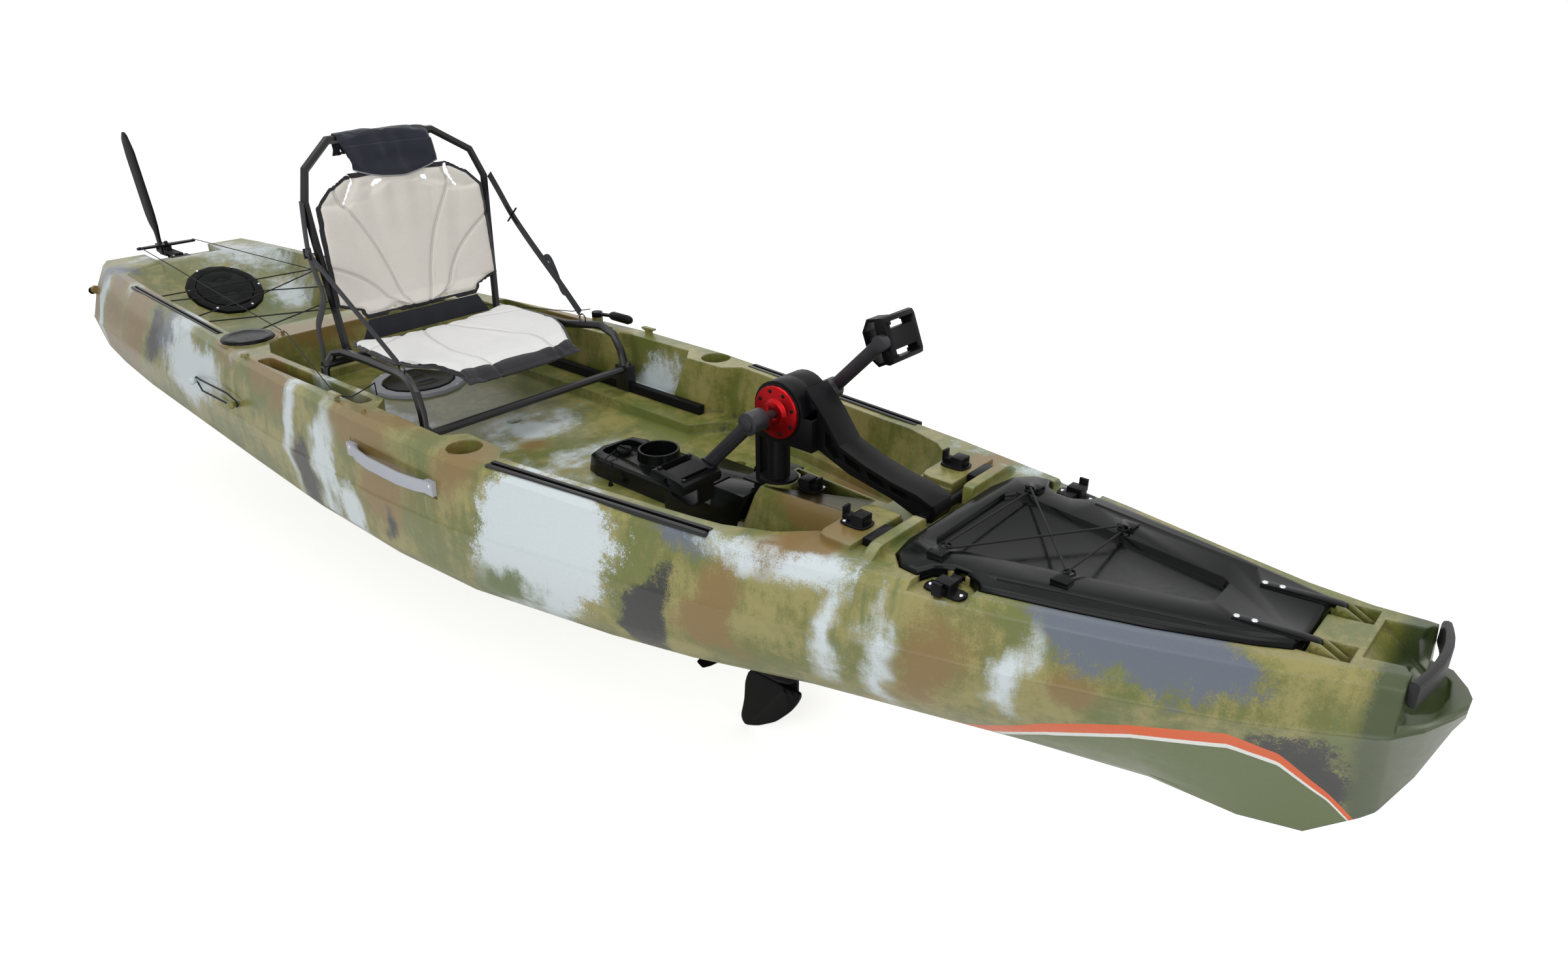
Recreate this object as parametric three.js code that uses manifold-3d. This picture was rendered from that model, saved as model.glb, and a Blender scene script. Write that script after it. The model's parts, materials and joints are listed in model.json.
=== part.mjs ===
// Pedal kayak with a hollow moulded hull, hatch lid, framed seat, pedal drive and rudder.
// Millimetres, +Z up, +X to the bow, +Y to port. The origin lies on the keel amidships.
import * as THREE from 'three';
import { mergeVertices } from 'three/addons/utils/BufferGeometryUtils.js';
import Module from 'manifold-3d';

const wasm = await Module();
wasm.setup();

// Shared clearances and overruns
const GAP = 0.3;
const RUNNING = 1;
const OVERRUN = 30;
const WELD = 1e-4;

// Hull: length over all, beam at the seam, depth amidships and wall
const HULL = { length: 4210, beam: 916, depth: 400, wall: 5.5, edgeRadius: 16, seamStep: 3 };
// Stations from stern to bow: place along the half length, breadths as shares of the half
// beam, heights as shares of the depth, and the power that makes a section full or hollow
const stationShares = [
  // place, seam breadth, seam height, keel height, sheer breadth, sheer height, power
  [-1, 0.712, 0.53, 0.225, 0.557, 0.985, 3],
  [-0.95, 0.753, 0.53, 0.1, 0.62, 0.975, 3.3],
  [-0.855, 0.8, 0.53, 0.035, 0.677, 0.97, 3.4],
  [-0.7125, 0.869, 0.53, 0.005, 0.751, 0.96, 3.2],
  [-0.38, 0.941, 0.53, 0, 0.878, 0.96, 4],
  [-0.19, 0.978, 0.53, 0, 0.943, 0.975, 4.6],
  [0, 1, 0.54, 0, 0.972, 0.995, 4.4],
  [0.1425, 0.993, 0.58, 0, 0.961, 0.9975, 3.8],
  [0.3325, 0.9, 0.65, 0, 0.862, 1.0075, 2.8],
  [0.4276, 0.832, 0.67, 0, 0.788, 1.0125, 2.35],
  [0.5226, 0.734, 0.7, 0, 0.705, 1.03, 1.85],
  [0.7126, 0.55, 0.765, 0.045, 0.524, 1.0525, 1.4],
  [0.8076, 0.437, 0.7925, 0.1, 0.406, 1.0675, 1.1],
  [0.8789, 0.338, 0.82, 0.1125, 0.312, 1.085, 0.95],
  [0.9264, 0.282, 0.8625, 0.175, 0.255, 1.11, 0.92],
  [0.9596, 0.253, 0.905, 0.35, 0.223, 1.1375, 0.95],
  [0.9672, 0.247, 0.92, 0.4, 0.218, 1.14, 0.95],
  [0.9691, 0.242, 0.925, 0.42, 0.232, 0.965, 0.95],
  [0.9834, 0.19, 0.955, 0.62, 0.182, 0.985, 1],
  [0.9952, 0.09, 0.97, 0.86, 0.084, 1, 1],
  [1, 0.035, 0.975, 0.93, 0.03, 1, 1],
];
// The hollow inside stops short of the stem, which is solid
const hollowEndShare = 0.88;
// Sections below this power keep extra thickness inside
const fullPower = 3;

// Cockpit: floors, ledges and the inner line of the gunwale
const COCKPIT = {
  floor: 240, ledge: 265, top: 520, aft: -795, fore: 1131, sideSlope: 10, aftSlope: 22,
  foreSlope: 120, floorAft: -760, floorFore: 1075, ledgeInner: 250, stepInset: 10,
};
const cockpitShares = [
  // place between the aft and fore ends, half width as a share of the half beam
  [0, 0.56], [0.012, 0.65], [0.06, 0.738], [0.36, 0.738], [0.383, 0.83], [0.517, 0.834],
  [0.537, 0.735], [0.6, 0.735], [0.622, 0.812], [0.777, 0.731], [0.916, 0.65],
  [0.965, 0.572], [1, 0.448],
];
const footwellShares = [
  [0, 0.42], [0.012, 0.53], [0.6, 0.53], [0.633, 0.73], [0.797, 0.66], [0.943, 0.566],
  [0.985, 0.5], [1, 0.42],
];

// Hump that carries the drive between the footwells
const HUMP = {
  aft: 812, fore: 1160, top: 360, halfWidth: 108, foreHalfWidth: 92, sideSlope: 48, endSlope: 38,
};
// Shoulders, the slot for the cross bar and the lips ahead of it
const SHOULDER = {
  padAft: 1139, padInner: 84, padOuter: 238, padTop: 425,
  channelHalf: 78, channelFloor: 362, slotAft: 1213, slotFore: 1241, slotFloor: 390,
  slotHalf: 205, lipThick: 22, lipRise: 22, lipRound: 12,
};
// Tank well behind the seat, with the ramp that holds the stern hatch
const TANK = { aft: -1907, fore: -905, floor: 225, ramp: 290, sideSlope: 45, foreSlope: 45 };
const tankShares = [
  [0, 0.42], [0.012, 0.5], [0.05, 0.575], [0.3, 0.625], [0.95, 0.715], [0.985, 0.69], [1, 0.6],
];
const STERN_DECK = { notchHalf: 112, notchFore: -1985, notchFloor: 368 };
const SIDE_BIN = { aft: -640, fore: -110, floor: 318, inner: 356, outer: 396, round: 18 };
const CUP = { x: 297, y: 386, radius: 39, floor: 300 };
const PADDLE = { spots: [-1014, -733], z: 252, ball: 12, stand: 19, pin: 5, cord: 2.5 };
const SCUPPER = { radius: 19, footX: 560, footY: 185, seatX: -80, tankX: -1300, tankY: 150 };
const TRUNK = { aft: 676, fore: 882, half: 32, seat: 345, seatRadius: 42 };
const TUNNEL = { x: 700, half: 20, radius: 124, z: -65 };

// Hatches with twist lids: opening radius, ring radius and height
const STERN_HATCH = { x: -1750, opening: 100, ring: 126, ringHeight: 9, lid: 92 };
const SEAT_HATCH = { x: -530, opening: 110, ring: 138, ringHeight: 10, lid: 101 };
const DECK_HATCH = { x: -850, y: -318, opening: 57, ring: 72, ringHeight: 8, lid: 48 };

// Bow hatch lid and the recess it closes
const LID = {
  aft: 1266, fore: 1900, seat: 402, crown: 7, clear: 3, wall: 8, panelDrop: 12, panelWall: 8,
  openingInset: 30, hingeX: 1912, hingeZ: 443, notch: 100,
};
const lidShares = [
  // place along the lid, half width as a share of the half beam
  [0, 0.3], [0.02, 0.43], [0.07, 0.505], [0.13, 0.515], [0.15, 0.44], [0.19, 0.405],
  [0.235, 0.405], [0.275, 0.44], [0.295, 0.475], [0.5, 0.41], [0.7, 0.335], [0.9, 0.245],
  [0.985, 0.2], [1, 0.15],
];
const openingShares = [
  [0.05, 0.24], [0.1, 0.35], [0.3, 0.33], [0.5, 0.325], [0.7, 0.255], [0.9, 0.165], [0.94, 0.1],
];
const BOW_BOWL = { aft: 1972, half: 62, fore: 2050, floor: 372, scoopX: 2046, scoopZ: 432 };

// Gear rails let into the gunwales
const FORE_RAIL = { aftX: 410, foreX: 970, aftY: 402, foreY: 333, width: 26, height: 9, proud: 1.5, slot: 9, inner: 17, floor: 3 };
const AFT_RAIL = { aftX: -1690, foreX: -960, aftY: 304, foreY: 347, width: 18, height: 8, proud: 1, slot: 7, inner: 12, floor: 3 };
// Hinge of the bow lid: arms on the lid, brackets and pins on the hull
const HINGE = {
  arms: [63], pocketFore: 1962, pocketHalf: 24, pocketFloor: 424, armAft: 1795, armWidth: 15, armThick: 6, lift: 6,
  knuckle: 8, pin: 4, cheekGap: 1, cheek: 4, base: 4, bracketFore: 1957, screw: 5,
};
// Carrying grips in the side recesses
const GRIP = { aft: -84, fore: 268, low: 288, high: 338, wallY: 446, cap: 30, capThick: 13, capTall: 32, reach: 20, wide: 30, thick: 13 };
// Pedal drive: hub, cranks, housing, column, arm, leg and propeller
const HUB = { x: 886, z: 529, crank: 169, turn: 0.8, planeY: 127, axle: 9, tip: 132 };
const HOUSING = { radius: 62, half: 46, wall: 5, aft: 826, fore: 972, low: 463, face: 6 };
const FLANGE = { outer: 55, thick: 9, boss: 27, bossThick: 16, bore: 11, screws: 6, screwRing: 44, screw: 3 };
const COLUMN = { x: 848, outer: 24, bore: 15, top: 470, flange: 40, flangeTop: 364 };
const POST = { x: 800, length: 12, width: 24, top: 470 };
const ARM = { half: 28, strapHalf: 33, strap: 8, endX: 1227, endZ: 411, endRadius: 23, bore: 11, foot: 970, strapPoints: 7 };
// Places on the drive arm: shares of its length from foot to end, and of the rise from end to hub
const armWebShares = [
  [0.0, 1.2542], [-0.0934, 1.4915], [0.0856, 1.1017], [0.2335, 0.6695], [0.4669, 0.4831],
  [0.7004, 0.3559], [0.9339, 0.2797], [1.07, 0.1695], [1.0934, 0.0169], [1.0623, -0.1356],
  [0.9922, -0.1949], [0.9144, -0.1186], [0.7004, 0.0424], [0.3113, 0.2119], [0.0, 0.4746]];
const armWindowShares = [
  [[0.0778, 0.5678], [0.0778, 0.8559], [0.1868, 0.6356], [0.2179, 0.4322], [0.1634, 0.3983]],
  [[0.2802, 0.3729], [0.2568, 0.5678], [0.3891, 0.4661], [0.4358, 0.2797]],
  [[0.4981, 0.2458], [0.4591, 0.4153], [0.6148, 0.3305], [0.6459, 0.1695]],
  [[0.7004, 0.161], [0.6693, 0.3051], [0.8249, 0.2373], [0.8638, 0.1102]]];
const CROSSBAR = { radius: 10.5, half: 203, block: 66, blockLength: 24, low: 391, high: 428 };
const LEG = { aft: 798, fore: 874, half: 20, top: 345, plateAft: 772, plateFore: 859, plateHalf: 28, plate: 9 };
const GEARBOX = { z: -125, radius: 30, wall: 5, aft: 722, nose: 905, tail: 17, lug: 7, lugLow: -192, lugAft: 845, lugFore: 912 };
const PROP = { x: 700, hub: 17, hubLength: 32, radius: 108, chord: 38, shaft: 7, pitch: 0.95, thick: 5 };
const GEARS = {
  spur: { teeth: 16, mate: 8, module: 3.5, width: 9, y: -28 },
  upper: { teeth: 16, mate: 8, module: 1.65, width: 4 }, lower: { teeth: 16, mate: 8, module: 2.4, width: 6 },
  shaft: 5, backlash: 0.4,
};
const CRANK = { thick: 20, armHalf: 15, hub: 23, hubThick: 40, end: 17, endThick: 20, cap: 5 };
const FIN = { half: 5, bolts: [[867, -176], [890, -171]], bolt: 3, nut: 6 };
const LAYSHAFT_Z = HUB.z - 18.4;
const finOutline = [
  [745, -204], [741, -260], [728, -318], [740, -338], [785, -318], [841, -278], [882, -232], [905, -195],
  [916, -164], [760, -164]];
const PEDAL = { length: 96, width: 104, thick: 26, start: 10, bolt: 9, strap: 3, strapWide: 42, strapDrop: 62, nearTip: 0.12, farTip: 1.2 };
// Latches: base plate, bridge and sliding bolt
const LATCH = {
  plateLength: 74, plateWidth: 44, acrossWidth: 32, plate: 4, bridge: 26, bridgeWidth: 30, bridgeTall: 21, tunnelWidth: 18,
  tunnelTall: 10, back: 16, tab: 6, tabTall: 24, screw: 5,
};
const SHOULDER_LATCH = { x: 1181, y: 163, z: 425, nose: 31, tail: 36, shift: 16 };
const COLUMN_LATCH = { x: 927, z: 360, nose: 37, tail: 32, shift: -14 };
const LID_LATCH = { x: 1401, y: 229, z: 404, nose: 54, tail: 31, slot: 24, slotTall: 15, slotIn: 63, slotOut: 30 };
// Seat: tubes, feet, pads and straps
const SEAT = {
  tube: 11, railY: 312, railWidth: 20, railHeight: 25, railAft: -600, railFore: 312, barY: 262, frontX: 18,
  rearX: -449, footZ: 337, pivotZ: 419, backTop: 946, backTopX: -545, shoulderZ: 800, shoulderX: -468,
  footLength: 50, footWidth: 28, ring: 13, strapWide: 24, strap: 2,
  strapFar: [[-462, 0, 800], [-380, 3, 700], [-116, 4.6, 466]], buckle: [30, 8, 34],
  strapTail: [[-462, 0, 800], [-477, 0, 672], [-441, 1, 568], [-499, 2, 477], [-504, 3, 350]],
  strapNear: [[-477, 0, 672], [-116, 5.4, 466]],
};
// Moulded cover over the drive opening, with a cup ring
const POD = { aft: 300, fore: 600, half: 82, top: 285, wall: 6, cupX: 462, cupY: 18, cupOuter: 52, cupBore: 44, cupTop: 309, cupFloor: 256 };
const COVER = { aft: 604, half: 98, low: 296, stepX: 752, high: 344, foreLow: 805, foreHigh: 836, wall: 5 };
// Rudder on the stern
const RUDDER = {
  yawX: -2192, flipX: -2250, z: 379, barrel: 15, pin: 6, reach: 95, blade: 8, tipX: -2330, tipZ: 795, boss: 22,
  lineZ: 399, deck: 368,
  bracket: { aft: 84, fore: 182, half: 30, corner: 8, thick: 6, neckFore: 102, neckHalf: 14, neckLow: 10, neckHigh: 2,
    barrelTall: 26, barrelLow: 14, pinTall: 64, pinLow: 32 },
};
const LEVER = { x: -212, y: 416, swing: 118, grip: 13, gripLength: 92, z: 421, base: 16, baseHeight: 14 };
const CORD = { thin: 1.5, bungee: 2.2, sides: 8 };

// Solids from geometry: welding, direction of faces, joining and cutting
function welded(geometry) {
  if (geometry.userData.welded) return geometry.clone();
  const bare = geometry.clone();
  for (const key of Object.keys(bare.attributes)) if (key !== 'position') bare.deleteAttribute(key);
  const merged = mergeVertices(bare, WELD);
  const corner = merged.attributes.position;
  const index = Array.from(merged.index.array);
  const a = new THREE.Vector3(), b = new THREE.Vector3(), c = new THREE.Vector3();
  let volume = 0;
  const kept = [];
  for (let i = 0; i < index.length; i += 3) {
    if (index[i] === index[i + 1] || index[i + 1] === index[i + 2] || index[i] === index[i + 2]) continue;
    a.fromBufferAttribute(corner, index[i]);
    b.fromBufferAttribute(corner, index[i + 1]);
    c.fromBufferAttribute(corner, index[i + 2]);
    volume += a.dot(b.cross(c));
    kept.push(index[i], index[i + 1], index[i + 2]);
  }
  if (volume < 0) for (let i = 0; i < kept.length; i += 3) [kept[i], kept[i + 1]] = [kept[i + 1], kept[i]];
  merged.setIndex(kept);
  merged.userData.welded = true;
  return merged;
}

function solid(geometry) {
  const g = welded(geometry);
  return new wasm.Manifold(new wasm.Mesh({
    numProp: 3,
    vertProperties: new Float32Array(g.attributes.position.array),
    triVerts: new Uint32Array(g.index.array),
  }));
}

const asSolid = (shape) => (shape.isBufferGeometry ? solid(shape) : shape);
const join = (...shapes) => shapes.map(asSolid).reduce((sum, next) => sum.add(next));
const cut = (body, ...tools) => tools.map(asSolid).reduce((rest, tool) => rest.subtract(tool), asSolid(body));

function geometryOf(shape) {
  if (shape.isBufferGeometry) {
    const plain = welded(shape);
    plain.computeVertexNormals();
    return plain;
  }
  const mesh = shape.getMesh();
  const geometry = new THREE.BufferGeometry();
  const corners = new Float32Array(mesh.vertProperties.length);
  corners.set(mesh.vertProperties);
  geometry.setAttribute('position', new THREE.BufferAttribute(corners, 3));
  geometry.setIndex(Array.from(mesh.triVerts));
  geometry.computeVertexNormals();
  return geometry;
}

// Placing: every helper returns plain geometry in the frame of the piece
const moved = (geometry, x, y, z) => geometry.clone().translate(x, y, z);
function mirrored(geometry) {
  const copy = welded(geometry).applyMatrix4(new THREE.Matrix4().makeScale(1, -1, 1));
  const index = copy.index.array;
  for (let i = 0; i < index.length; i += 3) [index[i], index[i + 1]] = [index[i + 1], index[i]];
  return copy;
}
const basis = (x, y, z) => new THREE.Matrix4().makeBasis(
  new THREE.Vector3(...x), new THREE.Vector3(...y), new THREE.Vector3(...z));
const SIDEWAYS = basis([1, 0, 0], [0, 0, 1], [0, -1, 0]);
const ENDWAYS = basis([0, 1, 0], [0, 0, 1], [1, 0, 0]);
const ball = (radius, sides = 14, rings = 8) => welded(new THREE.SphereGeometry(radius, sides, rings));
const block = (length, width, height, x = 0, y = 0, z = 0) =>
  welded(new THREE.BoxGeometry(length, width, height)).translate(x, y, z);
const span = (x0, x1, y0, y1, z0, z1) =>
  block(x1 - x0, y1 - y0, z1 - z0, (x0 + x1) / 2, (y0 + y1) / 2, (z0 + z1) / 2);
const upright = (radius, height, x, y, z, sides = 24, topRadius = radius) =>
  welded(new THREE.CylinderGeometry(topRadius, radius, height, sides)).rotateX(Math.PI / 2)
    .translate(x, y, z + height / 2);
const axle = (radius, length, x, y, z, sides = 24) =>
  welded(new THREE.CylinderGeometry(radius, radius, length, sides)).translate(x, y, z);
const shaftX = (radius, length, x, y, z, sides = 24, endRadius = radius) =>
  welded(new THREE.CylinderGeometry(endRadius, radius, length, sides)).rotateZ(-Math.PI / 2).translate(x, y, z);

function outline(points) {
  return new THREE.Shape(points.map(([u, v]) => new THREE.Vector2(u, v)));
}
const roundSteps = 2;
function rounded(points, radii) {
  // Closed outline whose corners are turned into arcs by quadratic curves
  const count = points.length;
  const result = [];
  for (let i = 0; i < count; i += 1) {
    const here = new THREE.Vector2(...points[i]);
    const before = new THREE.Vector2(...points[(i + count - 1) % count]);
    const after = new THREE.Vector2(...points[(i + 1) % count]);
    const reach = Math.min(Array.isArray(radii) ? radii[i] : radii,
      here.distanceTo(before) * 0.49, here.distanceTo(after) * 0.49);
    if (reach <= 0) { result.push(here); continue; }
    const enter = here.clone().add(before.sub(here).setLength(reach));
    const leave = here.clone().add(after.sub(here).setLength(reach));
    result.push(...new THREE.QuadraticBezierCurve(enter, here, leave).getPoints(roundSteps));
  }
  return new THREE.Shape(result);
}
const extrude = (shape, depth, curveSegments = 6) =>
  welded(new THREE.ExtrudeGeometry(shape, { depth, bevelEnabled: false, curveSegments }));
const slabUp = (shape, height, z = 0) => extrude(shape, height).translate(0, 0, z);
const slabSide = (shape, width, y = 0) =>
  extrude(shape, width).applyMatrix4(SIDEWAYS).translate(0, y + width / 2, 0);
const slabEnd = (shape, length, x = 0) => extrude(shape, length).applyMatrix4(ENDWAYS).translate(x, 0, 0);
const disc = (radius, sides = 12) => outline(Array.from({ length: sides }, (_, i) => {
  const turn = (i / sides) * Math.PI * 2;
  return [radius * Math.cos(turn), radius * Math.sin(turn)];
}));
function loopTube(curve, steps, section) {
  // Endless tube: the last ring of points leads back to the first
  const frames = curve.computeFrenetFrames(steps, true), count = section.length;
  const positions = [], faces = [];
  for (let r = 0; r < steps; r += 1) {
    const at = curve.getPointAt(r / steps);
    for (const corner of section) {
      const p = at.clone().addScaledVector(frames.normals[r], corner.x).addScaledVector(frames.binormals[r], corner.y);
      positions.push(p.x, p.y, p.z);
    }
    for (let i = 0; i < count; i += 1) {
      const j = (i + 1) % count, next = ((r + 1) % steps) * count, here = r * count;
      faces.push(here + i, here + j, next + j, here + i, next + j, next + i);
    }
  }
  const geometry = new THREE.BufferGeometry();
  geometry.setAttribute('position', new THREE.Float32BufferAttribute(positions, 3));
  geometry.setIndex(faces);
  return welded(geometry);
}
function sweep(points, radius, { sides = 8, steps = 24, each = 0, closed = false, section } = {}) {
  // With each set, every run between two points gets that many steps
  const curve = new THREE.CatmullRomCurve3(points.map((p) => new THREE.Vector3(...p)), closed,
    'centripetal');
  if (each) {
    curve.getPointAt = (t, target) => curve.getPoint(t, target);
    curve.getTangentAt = (t, target) => curve.getTangent(t, target);
  }
  const runs = closed ? points.length : points.length - 1;
  if (closed) return loopTube(curve, each ? each * runs : steps, (section ?? disc(radius, sides)).getPoints());
  return welded(new THREE.ExtrudeGeometry(section ?? disc(radius, sides),
    { extrudePath: curve, steps: each ? each * runs : steps, bevelEnabled: false }));
}
function revolve(profile, sides = 32) {
  return welded(new THREE.LatheGeometry(profile.map(([r, z]) => new THREE.Vector2(r, z)), sides))
    .rotateX(Math.PI / 2);
}
function bar(from, to, shape) {
  // Extrudes a section along a straight line, its second axis kept as near upright as it goes
  const start = new THREE.Vector3(...from), end = new THREE.Vector3(...to);
  const along = end.clone().sub(start);
  const length = along.length();
  along.normalize();
  const side = new THREE.Vector3(0, 0, 1).cross(along).normalize();
  const up = along.clone().cross(side);
  return extrude(shape, length).applyMatrix4(new THREE.Matrix4().makeBasis(side, up, along)
    .setPosition(start));
}
const rect = (width, height, u = 0, v = 0) =>
  outline([[u - width / 2, v], [u + width / 2, v], [u + width / 2, v + height], [u - width / 2, v + height]]);

function loft(rings) {
  // Closed body through rings of equally many points, with flat ends
  const count = rings[0].length;
  const positions = rings.flat(2);
  const faces = [];
  for (let r = 0; r < rings.length - 1; r += 1) {
    for (let i = 0; i < count; i += 1) {
      const j = (i + 1) % count;
      const a = r * count + i, b = r * count + j, c = (r + 1) * count + i, d = (r + 1) * count + j;
      faces.push(a, b, d, a, d, c);
    }
  }
  for (const [r, flip] of [[0, true], [rings.length - 1, false]]) {
    const ring = rings[r];
    const spread = [0, 1, 2].map((k) => Math.max(...ring.map((p) => p[k])) - Math.min(...ring.map((p) => p[k])));
    const drop = spread.indexOf(Math.min(...spread)), [first, second] = [0, 1, 2].filter((k) => k !== drop);
    const flat = ring.map((p) => new THREE.Vector2(p[first], p[second]));
    const turned = flip !== (THREE.ShapeUtils.area(flat) < 0);
    for (const [a, b, c] of THREE.ShapeUtils.triangulateShape(flat, [])) {
      const base = r * count;
      faces.push(...(turned ? [base + a, base + c, base + b] : [base + a, base + b, base + c]));
    }
  }
  const geometry = new THREE.BufferGeometry();
  geometry.setAttribute('position', new THREE.Float32BufferAttribute(positions, 3));
  geometry.setIndex(faces);
  return geometry;
}

// Hull form
const halfLength = HULL.length / 2;
const halfBeam = HULL.beam / 2;
const mix = (a, b, t) => a + (b - a) * t;
function stationAt(x) {
  const place = THREE.MathUtils.clamp(x / halfLength, -1, 1);
  let i = 0;
  while (i < stationShares.length - 2 && stationShares[i + 1][0] < place) i += 1;
  const low = stationShares[i], high = stationShares[i + 1];
  const t = (place - low[0]) / (high[0] - low[0]);
  const row = low.map((value, k) => mix(value, high[k], t));
  return {
    x, seamY: row[1] * halfBeam, seamZ: row[2] * HULL.depth, keelZ: row[3] * HULL.depth,
    sheerY: row[4] * halfBeam, sheerZ: row[5] * HULL.depth, power: row[6],
  };
}
const deckZ = (x) => stationAt(x).sheerZ;
const sheerY = (x) => stationAt(x).sheerY;

function sectionRing(s, inset, bottomSteps, plain) {
  const seamY = s.seamY - inset, sheer = s.sheerY - inset, keelZ = s.keelZ + inset, top = s.sheerZ - inset;
  const half = [];
  for (let i = 0; i <= bottomSteps; i += 1) {
    const turn = (i / bottomSteps) * Math.PI / 2;
    half.push([Math.max(seamY, 0) * Math.sin(turn) ** (2 / s.power),
      s.seamZ - (s.seamZ - keelZ) * Math.max(Math.cos(turn), 0) ** (2 / s.power)]);
  }
  const rise = top - s.seamZ;
  const round = Math.min(HULL.edgeRadius, rise * 0.4);
  if (!plain) half.push([seamY - Math.min(HULL.seamStep, rise * 0.2), s.seamZ + Math.min(HULL.seamStep, rise * 0.2)]);
  half.push([mix(seamY, sheer, 0.45), s.seamZ + rise * 0.5]);
  half.push([sheer, top - round]);
  half.push([sheer - round, top]);
  const port = half.map(([y, z]) => [s.x, y, z]);
  const starboard = half.slice(1).reverse().map(([y, z]) => [s.x, -y, z]);
  return [...port, ...starboard];
}

function tub(table, end, levels, grow = 0) {
  // Tapered pocket or hump: half widths along X, drawn in at each level
  const rings = levels.map(([z, side, aft, fore], k) => {
    const x0 = end.aft + aft - grow, x1 = end.fore - fore + grow;
    const row = table.map(([place, share]) => [mix(x0, x1, place), share * halfBeam - side + grow]);
    const level = k === 0 ? z - grow : z;
    return [...row.map(([x, y]) => [x, -y, level]), ...row.slice().reverse().map(([x, y]) => [x, y, level])];
  });
  return loft(rings);
}

const outlineOf = (table, end) => {
  const row = table.map(([place, share]) => [mix(end.aft, end.fore, place), share * halfBeam]);
  return [...row.map(([x, y]) => [x, -y]), ...row.slice().reverse()];
};
function shrunk(points, inset) {
  // Moves every corner inwards along its mitre
  return points.map((p, i) => {
    const before = points[(i + points.length - 1) % points.length], after = points[(i + 1) % points.length];
    const u = new THREE.Vector2(p[0] - before[0], p[1] - before[1]).normalize();
    const w = new THREE.Vector2(after[0] - p[0], after[1] - p[1]).normalize();
    const mitre = new THREE.Vector2(-u.y - w.y, u.x + w.x).normalize();
    const reach = inset / Math.max(mitre.dot(new THREE.Vector2(-u.y, u.x)), 0.5);
    return [p[0] + mitre.x * reach, p[1] + mitre.y * reach];
  });
}
const stack = (points, levels) => loft(levels.map(([z, inset]) => shrunk(points, inset).map(([x, y]) => [x, y, z])));

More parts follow.
